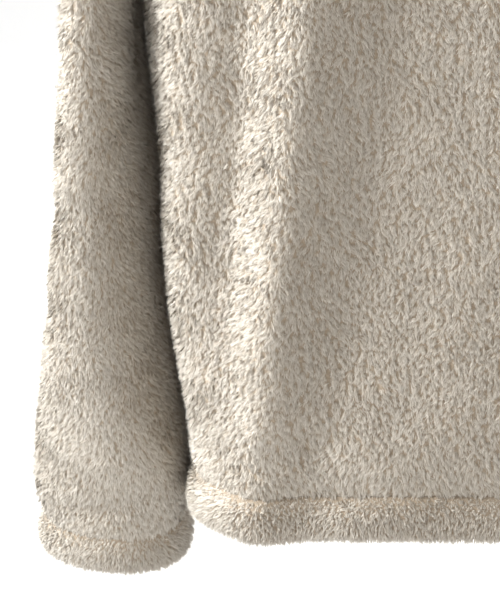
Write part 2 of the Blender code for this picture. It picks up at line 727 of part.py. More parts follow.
class ZipLine:
    """The middle of the zip's thickness at the centre front, by its length from the bottom."""

    def __init__(self, tape):
        line = tape[:, 0] * np.array([0, 1, 1])
        out = unit(np.cross(ACROSS, np.gradient(line, axis=0)))
        self.line = line - out * TAPE_THICKNESS / 2
        self.out = out
        steps = np.linalg.norm(np.diff(self.line, axis=0), axis=1)
        self.lengths = np.concatenate([[0], np.cumsum(steps)])
        self.length = self.lengths[-1]

    def at(self, length):
        """A point of the line, and the way out there."""
        point = [np.interp(length, self.lengths, column) for column in self.line.T]
        out = unit(np.array([np.interp(length, self.lengths, column) for column in self.out.T]))
        return np.array(point), out

    def frame(self, length):
        """Places points given as out, across and up from the line at this length."""
        origin, out = self.at(length)
        up = np.cross(out, ACROSS)
        return lambda o, x, u: origin + o * out + x * ACROSS + u * up


def zip_chain(zip_line, start, end):
    inner = zip_line.lengths[(zip_line.lengths > start) & (zip_line.lengths < end)]
    lengths = [start, *inner, end]
    faces = []
    for length in lengths:
        place = zip_line.frame(length)
        depth = CHAIN_THICKNESS / 2
        faces.append([place(depth, x, 0) for x in (-CHAIN_HALF_WIDTH, CHAIN_HALF_WIDTH)])
    chain = Sheet(np.array(faces))
    chain.thickness[:] = CHAIN_THICKNESS
    chain.object("zip_chain", "teeth")


def zip_slider(place):
    """Two plates on a core, with slots for the tapes, and a bridge for the pull tab."""
    wide, core = SLIDER_HALF_WIDTH, SLIDER_CORE_HALF_WIDTH
    deep, slot = SLIDER_HALF_DEPTH, SLIDER_SLOT_HALF_DEPTH
    quarter = [(-deep, -wide), (-slot, -wide), (-slot, -core)]
    half = quarter + [(-o, x) for o, x in reversed(quarter)]
    outline = half + [(-o, -x) for o, x in half]
    slider = prism_object("zip_slider", outline, -SLIDER_LENGTH / 2, SLIDER_LENGTH / 2, place, "metal")
    inside, root = BRIDGE_HALF_LENGTH - BRIDGE_BAR, deep - BRIDGE_ROOT
    top = deep + BRIDGE_RISE
    arch = [(-BRIDGE_HALF_LENGTH, root), (-inside, root), (-inside, top - BRIDGE_BAR)]
    arch += [(inside, top - BRIDGE_BAR), (inside, root), (BRIDGE_HALF_LENGTH, root)]
    arch += [(BRIDGE_HALF_LENGTH, top), (-BRIDGE_HALF_LENGTH, top)]

    def upright(u, o, x):
        return place(o, x, u)

    bridge = prism_object("bridge", arch, -BRIDGE_HALF_WIDTH, BRIDGE_HALF_WIDTH, upright, "metal")
    bridge.hide_render = True
    bridge.display_type = "WIRE"
    union = slider.modifiers.new("bridge", "BOOLEAN")
    union.operation = "UNION"
    union.solver = "EXACT"
    union.object = bridge


def both_sides(halves):
    right = [(point.across, point.below) for point in halves]
    return right + [(-across, below) for across, below in reversed(right)]


def zip_pull(place):
    """A flat tab, whose top bar lies under the bridge and is the hinge."""
    rise = SLIDER_HALF_DEPTH + PULL_BAR_RISE
    outer, window = both_sides(PULL_OUTLINE), both_sides(PULL_WINDOW)
    count = len(outer)
    points = []
    for depth in (PULL_THICKNESS / 2, -PULL_THICKNESS / 2):
        points += [place(rise + depth, x, -below) for x, below in outer + window]
    faces = []
    for k in range(count):
        k2 = (k + 1) % count
        front = [k, k2, count + k2, count + k]
        faces.append(front)
        faces.append([2 * count + corner for corner in reversed(front)])
        faces.append([k2, k, 2 * count + k, 2 * count + k2])
        faces.append([count + k, count + k2, 3 * count + k2, 3 * count + k])
    pull = mesh_object("zip_pull", points, faces, "metal", origin=place(rise, 0, 0))
    edit = bmesh.new()
    edit.from_mesh(pull.data)
    bmesh.ops.recalc_face_normals(edit, faces=edit.faces)
    edit.to_mesh(pull.data)
    edit.free()


def zip_ends(zip_line):
    half_across, half_deep, length = BOX_SIZE
    outline = [(-half_deep, -half_across), (half_deep, -half_across)]
    outline += [(half_deep, half_across), (-half_deep, half_across)]
    prism_object("zip_box", outline, -length - SEAM_GAP, -SEAM_GAP, zip_line.frame(0.0), "teeth")
    near, far, half_deep, length = STOP_SIZE
    place = zip_line.frame(zip_line.length - STOP_BELOW_TOP)
    for name, low, high in (("zip_stop_left", near, far), ("zip_stop_right", -far, -near)):
        outline = [(-half_deep, low), (half_deep, low), (half_deep, high), (-half_deep, high)]
        prism_object(name, outline, -length, 0.0, place, "metal")


def zip_pieces(front_left, front_right, collar):
    left, right = tape_grid(front_left, collar, 1), tape_grid(front_right, collar, -1)
    for name, grid in (("zip_tape_left", left), ("zip_tape_right", right)):
        tape = Sheet(grid)
        tape.thickness[:] = TAPE_THICKNESS
        tape.leans_back[:] = grid is right
        tape.object(name, "tape")
    zip_line = ZipLine(left)
    middle = zip_line.length - SLIDER_BELOW_TOP
    zip_chain(zip_line, 0.0, middle - SLIDER_LENGTH / 2 - SEAM_GAP)
    zip_slider(zip_line.frame(middle))
    zip_pull(zip_line.frame(middle))
    zip_ends(zip_line)


def open_all_seams(back, fronts, sleeves, collar):
    low, high = np.arange(UNDERARM + 1), np.arange(UNDERARM, TOP + 1)
    for sheet, edge, step in ((back, 0, 1), (back, -1, -1), (fronts[0], -1, -1), (fronts[1], 0, 1)):
        for rows in (low, high):
            sheet.open_seam((rows, edge), (rows, edge + step))
    for sheet in (back, *fronts):
        count = sheet.points.shape[1]
        sheet.open_seam((0, np.arange(count)), (1, np.arange(count)))
    shoulder, last = np.arange(SHOULDER_COLUMNS + 1), back.points.shape[1] - 1
    neck = np.arange(SHOULDER_COLUMNS, last - SHOULDER_COLUMNS + 1)
    for columns in (shoulder, neck, last - shoulder[::-1]):
        back.open_seam((TOP, columns), (TOP - 1, columns))
    last = fronts[0].points.shape[1] - 1
    neck = np.arange(NECK_COLUMNS["front"] + 1)
    for columns in (neck, last - shoulder[::-1]):
        fronts[0].open_seam((TOP, columns), (TOP - 1, columns))
    for columns in (shoulder, last - neck[::-1]):
        fronts[1].open_seam((TOP, columns), (TOP - 1, columns))
    for sleeve in sleeves:
        columns = np.arange(sleeve.points.shape[1])
        sleeve.open_seam((0, columns), (1, columns))
        last = len(sleeve.points) - 1
        sleeve.open_seam((last, columns), (last - 1, columns))
    columns = np.arange(collar.points.shape[1])
    collar.open_seam((0, columns), (1, columns))


def build():
    for made in list(bpy.data.objects):
        bpy.data.objects.remove(made, do_unlink=True)
    back, front_left, front_right = body_sheets()
    armhole = np.arange(UNDERARM, TOP + 1)
    left_hole = armhole_loop(back.points[armhole, 0], front_left.points[armhole, -1])
    right_hole = armhole_loop(back.points[armhole, -1], front_right.points[armhole, 0])
    sleeve_left, sleeve_right = sleeve_sheet(left_hole, 1), sleeve_sheet(right_hole, -1)
    neck_back = back.points[TOP, SHOULDER_COLUMNS : -SHOULDER_COLUMNS]
    neck_left = front_left.points[TOP, : NECK_COLUMNS["front"]]
    neck_right = front_right.points[TOP, -NECK_COLUMNS["front"] :]
    collar = collar_sheet(np.concatenate([neck_left, neck_back, neck_right]))

    every_row = slice(None)
    front_left.face_front((every_row, 0))
    front_right.face_front((every_row, -1))
    collar.face_front((every_row, [0, -1]))
    back.leans_back[: back.points.shape[1] // 2] = True
    front_right.leans_back[:] = True
    collar.leans_back[collar.points.shape[1] // 2 :] = True
    share_ways_out([back, front_left, front_right, sleeve_left, sleeve_right, collar])
    open_all_seams(back, (front_left, front_right), (sleeve_left, sleeve_right), collar)
    front_left.turn_edge((every_row, 0))
    front_right.turn_edge((every_row, -1))
    for edge in ((every_row, 0), (every_row, -1), (-1, every_row)):
        collar.turn_edge(edge)

    back.object("back", "fleece")
    front_left.object("front_left", "fleece")
    front_right.object("front_right", "fleece")
    sleeve_left.object("sleeve_left", "fleece")
    sleeve_right.object("sleeve_right", "fleece")
    collar.object("collar", "fleece")

    around = (front_left, back, front_right)
    hem = np.concatenate([sheet.points[0, (k > 0) :] for k, sheet in enumerate(around)])
    hem_out = np.concatenate([sheet.out[0, (k > 0) :] for k, sheet in enumerate(around)])
    casing("hem_band", hem, hem_out, np.array([0, 0, -1.0]), HEM_LOOP, closed=False)
    for name, sleeve in (("cuff_left", sleeve_left), ("cuff_right", sleeve_right)):
        down = unit(sleeve.points[-1].mean(axis=0) - sleeve.points[-2].mean(axis=0))
        casing(name, sleeve.points[-1][::-1], sleeve.out[-1][::-1], down, CUFF_LOOP, closed=True)
    zip_pieces(front_left, front_right, collar)


build()
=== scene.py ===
"""A long-pile fleece zip-up jacket, filled out as worn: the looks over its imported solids.

Each cloth piece is a thin shell on its solid's form, with locks of pile rooted in it. The forms
repeat the named sizes of the solids, in metres: +Z up, the front faces -Y, the wearer's left is +X.
"""

import math
from collections import namedtuple

import bpy
import numpy as np
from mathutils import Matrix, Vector


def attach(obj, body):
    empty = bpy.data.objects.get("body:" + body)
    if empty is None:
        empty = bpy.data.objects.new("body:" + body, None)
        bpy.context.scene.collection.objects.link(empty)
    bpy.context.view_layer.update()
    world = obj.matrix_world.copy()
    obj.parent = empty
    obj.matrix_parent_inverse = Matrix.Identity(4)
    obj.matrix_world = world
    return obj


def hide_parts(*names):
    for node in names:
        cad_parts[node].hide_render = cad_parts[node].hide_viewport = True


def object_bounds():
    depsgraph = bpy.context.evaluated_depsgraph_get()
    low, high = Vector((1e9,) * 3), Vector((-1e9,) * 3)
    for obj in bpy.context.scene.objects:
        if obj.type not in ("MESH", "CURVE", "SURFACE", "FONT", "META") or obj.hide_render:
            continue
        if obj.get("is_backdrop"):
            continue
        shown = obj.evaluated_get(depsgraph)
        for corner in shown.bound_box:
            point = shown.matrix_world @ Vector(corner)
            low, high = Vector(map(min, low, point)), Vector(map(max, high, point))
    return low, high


bl_info = {
    "name": "Fleece zip-up jacket",
    "version": (1, 0, 0),
    "blender": (4, 5, 0),
    "location": "3D View > Sidebar > Jacket",
    "description": "Dresses a hollow zip-up jacket in long-pile fleece, in a plain studio",
    "category": "Add Mesh",
}

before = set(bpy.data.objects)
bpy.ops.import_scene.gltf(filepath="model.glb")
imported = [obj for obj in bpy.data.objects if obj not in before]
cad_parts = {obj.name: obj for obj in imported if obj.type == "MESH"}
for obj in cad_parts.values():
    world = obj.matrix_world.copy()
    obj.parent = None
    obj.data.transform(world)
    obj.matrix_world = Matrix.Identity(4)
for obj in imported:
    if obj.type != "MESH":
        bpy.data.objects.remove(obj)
SOLIDS_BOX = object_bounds()

# ---------------------------------------------------------------- the solids' sizes

WALL = 0.007
HEM_SEAM_Z = -0.625
UNDERARM_Z = -0.262
HEM_CENTRE_LIFT = 0.005  # the hem rises a little at the centre back
HEM_LIFT_FADES = 0.16  # the lift's height
HEM_LIFT_ENDS = 0.6  # where it has died away, as a share of the way round to the side
NECK_HALF_WIDTH = 0.080
NECK_POINT_Y = 0.004
NECK_BACK = (0.074, 0.014)  # y and z at the centre back
NECK_FRONT = (-0.092, -0.064)
NECK_SHARE = {"back": 0.4168, "front": 0.3672}  # the neck point's place from centre line to side
SHOULDER_TIP = (0.206, 0.001, -0.047)
SHOULDER_RISE = 0.006  # how far the shoulder seam bows up
NECK_DROP_POWER = {"back": 1.0, "front": 1.3}
FOLDS_FADE = 0.05  # folds die away over this height below the neck
QUARTER_STEPS = 121  # points that a quarter of a section is measured with
SECTION_STEP = 0.004  # steps over which a section's and a ring's slopes are taken
RING_STEP = 0.002
ZIP_HALF_GAP = 0.005
CHAIN_HALF_WIDTH = 0.0028
CHAIN_THICKNESS = 0.0026
ACROSS = np.array([1.0, 0.0, 0.0])

Section = namedtuple(
    "Section", "z half_width back_depth front_depth side_y back_square front_square"
)
BODY_SECTIONS = (
    Section(-0.625, 0.2060, 0.1020, 0.1080, 0.000, 3.1, 2.8),
    Section(-0.612, 0.2088, 0.1060, 0.1120, 0.000, 3.1, 2.8),
    Section(-0.590, 0.2108, 0.1090, 0.1150, 0.000, 3.0, 2.7),
    Section(-0.552, 0.2170, 0.1085, 0.1170, 0.000, 2.9, 2.7),
    Section(-0.500, 0.2255, 0.1060, 0.1180, 0.001, 2.8, 2.7),
    Section(-0.440, 0.2294, 0.1065, 0.1185, 0.002, 2.7, 2.6),
    Section(-0.380, 0.2306, 0.1110, 0.1200, 0.002, 2.6, 2.5),
    Section(-0.310, 0.2380, 0.1185, 0.1210, 0.001, 2.6, 2.4),
    Section(-0.262, 0.2430, 0.1210, 0.1200, 0.000, 2.6, 2.4),
)

# How a panel's columns leave the underarm's height, and how they arrive at its top edge.
ARMHOLE_WAY = (-0.30, 0.95, 0.16)
ARMHOLE_PULL = 7
LEAVE_REACH = (0.105, 0.088)
Arrival = namedtuple("Arrival", "inward onward up reach")
ARRIVALS = {
    "back": (
        Arrival(0.00, -0.42, 0.90, 0.060),
        Arrival(-0.50, -0.90, 0.38, 0.075),
        Arrival(-0.12, -1.00, 0.06, 0.085),
        Arrival(0.00, -1.00, 0.00, 0.080),
    ),
    "front": (
        Arrival(0.00, -0.10, 0.98, 0.060),
        Arrival(-0.50, -0.85, 0.42, 0.075),
        Arrival(-0.12, -1.00, 0.08, 0.085),
        Arrival(0.00, -1.00, 0.00, 0.080),
    ),
}
ON_SHOULDER = 0.4

Ring = namedtuple("Ring", "x y z half_width half_depth square yaw")
SLEEVE_RINGS = (
    Ring(0.2712, -0.001, -0.300, 0.0262, 0.0680, 2.5, 10),
    Ring(0.2706, -0.004, -0.345, 0.0286, 0.0660, 2.5, 14),
    Ring(0.2688, -0.012, -0.420, 0.0324, 0.0620, 2.4, 25),
    Ring(0.2709, -0.022, -0.500, 0.0392, 0.0590, 2.4, 30),
    Ring(0.2722, -0.030, -0.555, 0.0482, 0.0560, 2.4, 31),
    Ring(0.2722, -0.037, -0.600, 0.0576, 0.0515, 2.4, 25),
    Ring(0.2724, -0.043, -0.635, 0.0620, 0.0470, 2.4, 16),
    Ring(0.2725, -0.046, -0.655, 0.0622, 0.0455, 2.4, 12),
    Ring(0.2719, -0.049, -0.672, 0.0592, 0.0440, 2.3, 11),
    Ring(0.2718, -0.052, -0.682, 0.0566, 0.0420, 2.3, 11),
)
# The sleeve's cap leaves the armhole sideways; "away" is how much so, at turns round it from the
# underarm by way of the back.
Leave = namedtuple("Leave", "turn away")
CAP_LEAVES = (
    Leave(0.00, 0.75),
    Leave(0.12, 0.95),
    Leave(0.25, 0.92),
    Leave(0.50, 0.93),
    Leave(0.75, 0.92),
    Leave(0.88, 0.95),
    Leave(1.00, 0.75),
)
CAP_SPREAD = 0.28
CAP_REACH = 0.38
CAP_FOLDS_FADE = 0.3
ROUND = 0.36  # a sleeve's mean way round, in metres

# Folds: soft troughs (depth below 0) and ridges. "along" is the distance round from the
# panel's centre line and "z" the height, both at the fold's two ends; "bow" pushes its middle
# sideways. On a sleeve "along" is the share of the way round from the body, by way of the back.
FOLD_END = 0.08
FOLD_END_POWER = 0.7
Fold = namedtuple("Fold", "along0 z0 along1 z1 bow half_width depth")
BODY_FOLDS = {
    ("back", 1): (
        Fold(0.115, -0.150, 0.166, -0.655, 0.000, 0.021, 0.0120),
        Fold(0.173, -0.215, 0.193, -0.515, 0.000, 0.021, -0.0145),
        Fold(0.050, -0.170, 0.122, -0.640, 0.002, 0.024, -0.0065),
        Fold(0.020, -0.200, 0.080, -0.600, 0.002, 0.046, -0.0085),
        Fold(0.234, -0.210, 0.230, -0.475, 0.002, 0.015, 0.0055),
        Fold(0.262, -0.270, 0.250, -0.440, 0.002, 0.014, 0.0020),
        Fold(0.105, -0.575, 0.190, -0.600, 0.004, 0.011, -0.0035),
    ),
    ("back", -1): (
        Fold(0.118, -0.140, 0.168, -0.600, -0.003, 0.020, 0.0075),
        Fold(0.070, -0.230, 0.122, -0.640, 0.003, 0.022, -0.0095),
        Fold(0.215, -0.190, 0.196, -0.560, 0.004, 0.015, -0.0075),
        Fold(0.250, -0.300, 0.246, -0.520, 0.002, 0.014, 0.0040),
        Fold(0.140, -0.500, 0.150, -0.660, 0.002, 0.020, -0.0060),
    ),
    ("front", 1): (
        Fold(0.120, -0.160, 0.150, -0.610, 0.004, 0.020, 0.0070),
        Fold(0.070, -0.240, 0.105, -0.650, 0.004, 0.024, -0.0085),
        Fold(0.205, -0.200, 0.195, -0.540, -0.004, 0.016, -0.0070),
        Fold(0.060, -0.560, 0.175, -0.590, 0.004, 0.012, -0.0030),
    ),
    ("front", -1): (
        Fold(0.104, -0.170, 0.142, -0.580, 0.003, 0.021, 0.0065),
        Fold(0.148, -0.270, 0.178, -0.650, 0.003, 0.020, -0.0080),
        Fold(0.215, -0.190, 0.208, -0.480, 0.003, 0.015, -0.0070),
        Fold(0.050, -0.300, 0.062, -0.600, 0.003, 0.022, -0.0050),
    ),
}
SLEEVE_FOLDS = {
    1: (
        Fold(0.10, -0.395, 0.40, -0.430, 0.010, 0.012, -0.0040),
        Fold(0.30, -0.505, 0.62, -0.540, -0.012, 0.013, -0.0040),
        Fold(0.14, -0.655, 0.36, -0.668, 0.006, 0.010, -0.0045),
        Fold(0.55, -0.200, 0.80, -0.300, 0.010, 0.015, -0.0045),
        Fold(0.68, -0.430, 0.95, -0.470, 0.010, 0.014, -0.0055),
        Fold(0.62, -0.600, 0.90, -0.625, 0.008, 0.013, -0.0045),
    ),
    -1: (
        Fold(0.12, -0.370, 0.42, -0.420, 0.010, 0.013, -0.0045),
        Fold(0.26, -0.480, 0.60, -0.500, 0.010, 0.012, -0.0035),
        Fold(0.16, -0.640, 0.44, -0.660, 0.006, 0.010, -0.0045),
        Fold(0.58, -0.210, 0.82, -0.290, 0.010, 0.015, -0.0040),
        Fold(0.66, -0.450, 0.96, -0.480, 0.010, 0.015, -0.0055),
        Fold(0.60, -0.590, 0.88, -0.620, 0.008, 0.013, -0.0040),
    ),
}

# A casing's cut, from the seam down its face and up its inside.
Loop = namedtuple("Loop", "out down")
HEM_LOOP = (
    Loop(0.0000, 0.0000),
    Loop(0.0038, 0.0070),
    Loop(0.0046, 0.0160),
    Loop(0.0024, 0.0265),
    Loop(-0.0045, 0.0315),
    Loop(-0.0115, 0.0275),
    Loop(-0.0130, 0.0160),
    Loop(-0.0115, 0.0060),
    Loop(-WALL, 0.0000),
)
CUFF_LOOP = (
    Loop(0.0000, 0.0000),
    Loop(0.0034, 0.0065),
    Loop(0.0040, 0.0150),
    Loop(0.0012, 0.0250),
    Loop(-0.0060, 0.0300),
    Loop(-0.0120, 0.0260),
    Loop(-0.0128, 0.0150),
    Loop(-0.0112, 0.0060),
    Loop(-WALL, 0.0000),
)
COLLAR_CENTRE = (0.0, -0.010, 0.0)
Lean = namedtuple("Lean", "height inward")
COLLAR_LEANS = (Lean(0.0, 0.0), Lean(0.020, 0.0030), Lean(0.045, 0.0045), Lean(0.066, 0.0060))

# ---------------------------------------------------------------- the looks' own sizes

PILE_FACE = 0.0024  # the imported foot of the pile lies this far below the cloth's outer form
PILE_CELL = 0.0019  # the side of a cell of the grid that locks are scattered over
WIDTH_POWER = 0.4  # where there are fewer locks, they are this much wider
SEAM_COVER = 0.0012  # how far the pile is drawn over a casing's seam
PLUMP = (0.0016, 0.0032)  # how far a casing's pile stands it out and down from its solid
PLUMP_ENDS = 0.62  # where on a casing's cut that has died away
PATCH_SHADE = (0.84, 0.82, 0.79)  # the darkest that a patch of pile is tinted
SHARP_ANGLE = math.radians(50)  # a shell's edges stay sharp from this angle on
BODY_ROWS_LOW = 44
BODY_ROWS_HIGH = 30
BODY_COLUMNS = 40
CAP_ROWS = 16
SLEEVE_ROWS = 50
COLLAR_COLUMNS = 72
COLLAR_ROWS = 10
LOOP_POINTS = 30

# The side that the photograph shows: the density of locks rises between each pair of places.
SHOWN_X = (-0.06, -0.02)
SHOWN_Y = (-0.07, -0.04)
SHOWN_Z = (-0.21, -0.25)

# How much one lock differs from the next, and one clump from the next.
LOCK_LENGTHS = (0.85, 1.12)
LOCK_WIDTHS = (0.75, 1.25)
LOCK_LEANS = 0.14
LOCK_SHADES = 0.10
CLUMP_LENGTHS = (0.88, 0.24)  # the least share, and the range above it
CLUMP_MIDDLE = 0.09  # squared distance from a clump's centre at which locks keep their length
CLUMP_JITTER = (0.12, 0.76)  # where in its cell a clump's centre may lie: from, and the range
CLUMP_HASH = (127.1, 311.7, 74.7, 43758.5453)
SWIRL_WAVES = (61, 37, 53)  # the slow waves in which the pile's lie wanders, in radians a metre
SWIRL_BEND = 1.7
SWIRL_START = 0.9
# Where a lock's root corners and its tip lie on the panel's map, in metres, and the map's margin.
LOCK_ON_PANEL = np.array([[-0.5, 0.0], [0.5, 0.0], [0.0, -2.4]]) * 0.001 + 0.003
PANEL_MARGIN = 0.004

# A tooth's four slices from the zip's edge inwards, as shares of the zip's half width, half
# thickness and a tooth's half height, and the corners that they give.
Slice = namedtuple("Slice", "across thick tall")
SLICES = (
    Slice(1.0, 0.55, 0.75),
    Slice(0.35, 0.9, 1.0),
    Slice(-0.25, 0.9, 1.0),
    Slice(-0.6, 0.4, 0.6),
)
TOOTH = tuple(
    (part.across, thick * part.thick, tall * part.tall)
    for part in SLICES
    for thick, tall in ((-1, -1), (-1, 1), (1, 1), (1, -1))
)
RING = ((0, 1), (1, 2), (2, 3), (3, 0))
TOOTH_FACES = tuple(
    (4 * k + a, 4 * k + b, 4 * k + 4 + b, 4 * k + 4 + a) for k in range(3) for a, b in RING
) + ((3, 2, 1, 0), (12, 13, 14, 15))

# What shows of each cloth, laid flat, in metres and square metres.
Cut = namedtuple("Cut", "width length area")

CAMERA_TARGET = (0.1645, 0.11, -0.4718)
CAMERA_DISTANCE = 1.5
CAMERA_PITCH = math.radians(14)
CAMERA_LENS = 128.27
CAMERA_SENSOR = 36.0
CAMERA_CLIP = (0.05, 20.0)

# ---------------------------------------------------------------- curves and grids


def smooth_value(places, values, x):
    """A smooth curve through a table's points, in cubic pieces."""
    places = np.asarray(places, float)
    values = np.asarray(values, float)
    slopes = np.gradient(values, places)
    i = np.clip(np.searchsorted(places, x) - 1, 0, len(places) - 2)
    step = places[i + 1] - places[i]
    t = (x - places[i]) / step
    start = (2 * t**3 - 3 * t**2 + 1) * values[i] + (t**3 - 2 * t**2 + t) * step * slopes[i]
    end = (3 * t**2 - 2 * t**3) * values[i + 1] + (t**3 - t**2) * step * slopes[i + 1]
    return start + end


def section_at(z):
    places = [section.z for section in BODY_SECTIONS]
    return Section(*(float(smooth_value(places, column, z)) for column in zip(*BODY_SECTIONS)))


def superellipse(half_width, depth, square, angles):
    """Points of a squared ellipse at angles from +Y."""
    across = np.abs(np.sin(angles) / half_width) ** square
    along = np.abs(np.cos(angles) / depth) ** square
    radius = (across + along) ** (-1 / square)
    return radius * np.sin(angles), radius * np.cos(angles)


def running(steps):
    """The distance run before each step, and after the last."""
    return np.concatenate([[0], np.cumsum(steps)])


def line_length(points):
    """The distance run at each point of a line."""
    return running(np.linalg.norm(np.diff(points, axis=0), axis=1))


def along_line(points, length, places):
    """Points at places along a line whose running length is known."""
    return np.stack([np.interp(places, length, column) for column in points.T], -1)


def even_quarter(half_width, depth, square, shares):
    """Points at even shares of a quarter's length."""
    x, y = superellipse(half_width, depth, square, np.linspace(0, math.pi / 2, QUARTER_STEPS))
    length = running(np.hypot(np.diff(x), np.diff(y)))
    return np.interp(shares * length[-1], length, x), np.interp(shares * length[-1], length, y)


def cells_of(rows, columns, spans):
    """The row and column of each cell of a grid, and of the next row and column round."""
    r, c = np.meshgrid(np.arange(rows), np.arange(spans), indexing="ij")
    r, c = r.ravel(), c.ravel()
    return r, c, r + 1, (c + 1) % columns


def unit(vectors):
    return vectors / np.maximum(np.linalg.norm(vectors, axis=-1, keepdims=True), 1e-12)


def mix(first, second, share):
    return first * (1 - share) + second * share


def ease(low, high, value):
    """From 0 at low to 1 at high, smoothly."""
    t = np.clip((value - low) / (high - low), 0, 1)
    return t * t * (3 - 2 * t)


def bezier(p0, p1, p2, p3, t):
    s = 1 - t
    return s**3 * p0 + 3 * s * s * t * p1 + 3 * s * t * t * p2 + t**3 * p3


def grid_normals(points, closed=False):
    """Unit normals of a grid whose rows go up and whose columns go anticlockwise, from above."""
    if closed:
        ring = np.concatenate([points[:, -1:], points, points[:, :1]], axis=1)
        round_it = (ring[:, 2:] - ring[:, :-2]) / 2
    else:
        round_it = np.gradient(points, axis=1)
    return unit(np.cross(round_it, np.gradient(points, axis=0)))


def fold_depth(folds, along, z):
    """How far all the folds together move each place in or out."""
    total = np.zeros_like(along)
    for fold in folds:
        start = np.array([fold.along0, fold.z0])
        run = np.array([fold.along1, fold.z1]) - start
        length = np.linalg.norm(run)
        way = run / length
        from_start = np.stack([along, z], -1) - start
        share = np.clip(from_start @ way / length, 0, 1)
        bow = fold.bow * 4 * share * (1 - share)
        aside = from_start @ np.array([way[1], -way[0]]) - bow
        beyond = from_start @ way - share * length
        fade = np.sin(math.pi * mix(FOLD_END, 1 - FOLD_END, share)) ** FOLD_END_POWER
        total += fold.depth * fade * np.exp(-(aside**2 + beyond**2) / fold.half_width**2)
    return total


# ---------------------------------------------------------------- the cloth's outer forms


def lower_row(panel, shares, z):
    """Half a panel's row at a height up to the underarm, from its centre line to its side."""
    section = section_at(z)
    depth, square = section.back_depth, section.back_square
    if panel == "front":
        depth, square = section.front_depth, section.front_square
    x, y = even_quarter(section.half_width, depth, square, shares)
    sign = 1 if panel == "back" else -1
    lift = np.zeros_like(x)
    if panel == "back":
        near_hem = np.clip(1 - (z - HEM_SEAM_Z) / HEM_LIFT_FADES, 0, 1)
        near_centre = np.cos(np.minimum(shares / HEM_LIFT_ENDS, 1) * math.pi / 2)
        lift = HEM_CENTRE_LIFT * near_hem**2 * near_centre**2
    return np.stack([x, section.side_y + sign * y, z + lift], -1)


def top_row(panel, shares):
    """Half a panel's top edge: the neckline, then the shoulder seam."""
    neck_y, neck_z = NECK_BACK if panel == "back" else NECK_FRONT
    neck_share = NECK_SHARE[panel]
    turn = np.minimum(shares / neck_share, 1) * math.pi / 2
    drop = np.maximum(np.cos(turn), 0) ** NECK_DROP_POWER[panel]
    neck = np.stack(
        [NECK_HALF_WIDTH * np.sin(turn), mix(NECK_POINT_Y, neck_y, np.cos(turn)), neck_z * drop], -1
    )
    along = np.clip((shares - neck_share) / (1 - neck_share), 0, 1)[:, None]
    start = np.array([NECK_HALF_WIDTH, NECK_POINT_Y, 0.0])
    rise = SHOULDER_RISE * np.sin(math.pi * along) * np.array([0, 0, 1.0])
    shoulder = mix(start, np.array(SHOULDER_TIP), along) + rise
    return np.where((shares <= neck_share)[:, None], neck, shoulder)


def upper_rows(panel, shares, heights):
    """Half a panel's rows from the underarm's height to its top edge."""
    sign = 1.0 if panel == "back" else -1.0
    start = lower_row(panel, shares, UNDERARM_Z)
    top = top_row(panel, shares)
    rise = unit(start - lower_row(panel, shares, UNDERARM_Z - SECTION_STEP))
    at_edge = (shares**ARMHOLE_PULL)[:, None]
    to_armhole = unit(np.array(ARMHOLE_WAY) * np.array([1, sign, 1]))
    leave = unit(mix(rise, to_armhole, at_edge)) * mix(*LEAVE_REACH, at_edge)
    neck_share = NECK_SHARE[panel]
    places = [0.0, neck_share, mix(neck_share, 1.0, ON_SHOULDER), 1.0]
    arrivals = [smooth_value(places, column, shares) for column in zip(*ARRIVALS[panel])]
    inward, onward, up, reach = arrivals
    arrive = unit(np.stack([inward, sign * onward, up], -1)) * reach[:, None]
    return bezier(start, start + leave, top - arrive, top, heights[:, None, None])


def half_body(panel, side, shares, lows, highs):
    """Outer points of half a panel, and the distance round from its centre line."""
    low = [lower_row(panel, shares, mix(HEM_SEAM_Z, UNDERARM_Z, share)) for share in lows]
    points = np.concatenate([np.array(low), upper_rows(panel, shares, highs)])
    if panel == "front":
        points[:, :, 0] += ZIP_HALF_GAP * (1 - shares) ** 2
    steps = np.linalg.norm(np.diff(points, axis=1), axis=2)
    along = np.concatenate([np.zeros((len(points), 1)), np.cumsum(steps, axis=1)], axis=1)
    out = grid_normals(points) * (-1 if panel == "back" else 1)
    depth = fold_depth(BODY_FOLDS[panel, side], along, points[:, :, 2])
    if panel == "back":
        depth += fold_depth(BODY_FOLDS[panel, -side], -along, points[:, :, 2])
    below_neck = np.clip(-points[:, :, 2] / FOLDS_FADE, 0, 1)
    points = points + out * (depth * below_neck)[:, :, None]
    return points * np.array([side, 1, 1])


def sleeve_rings(places, turns):
    """A sleeve's rings at places down its length, and the way down at each."""
    knots = np.linspace(0, 1, len(SLEEVE_RINGS))
    columns = list(zip(*SLEEVE_RINGS))
    ring = Ring(*(smooth_value(knots, column, places) for column in columns))
    centres = np.stack([ring.x, ring.y, ring.z], -1)
    ahead, behind = (
        np.stack([smooth_value(knots, column, places + step) for column in columns[:3]], -1)
        for step in (RING_STEP, -RING_STEP)
    )
    down = unit(ahead - behind)
    back = unit(np.cross(down, ACROSS))
    back = np.where(back[:, 1:2] < 0, -back, back)
    across = np.cross(back, down)
    across = np.where(across[:, :1] < 0, -across, across)
    yaw = np.radians(ring.yaw)[:, None]
    turned_back = back * np.cos(yaw) + across * np.sin(yaw)
    turned_across = across * np.cos(yaw) - back * np.sin(yaw)
    angles = turns * 2 * math.pi - math.pi / 2
    rings = []
    for k in range(len(places)):
        x, y = superellipse(ring.half_width[k], ring.half_depth[k], ring.square[k], angles)
        rings.append(centres[k] + x[:, None] * turned_across[k] + y[:, None] * turned_back[k])
    return np.array(rings), down


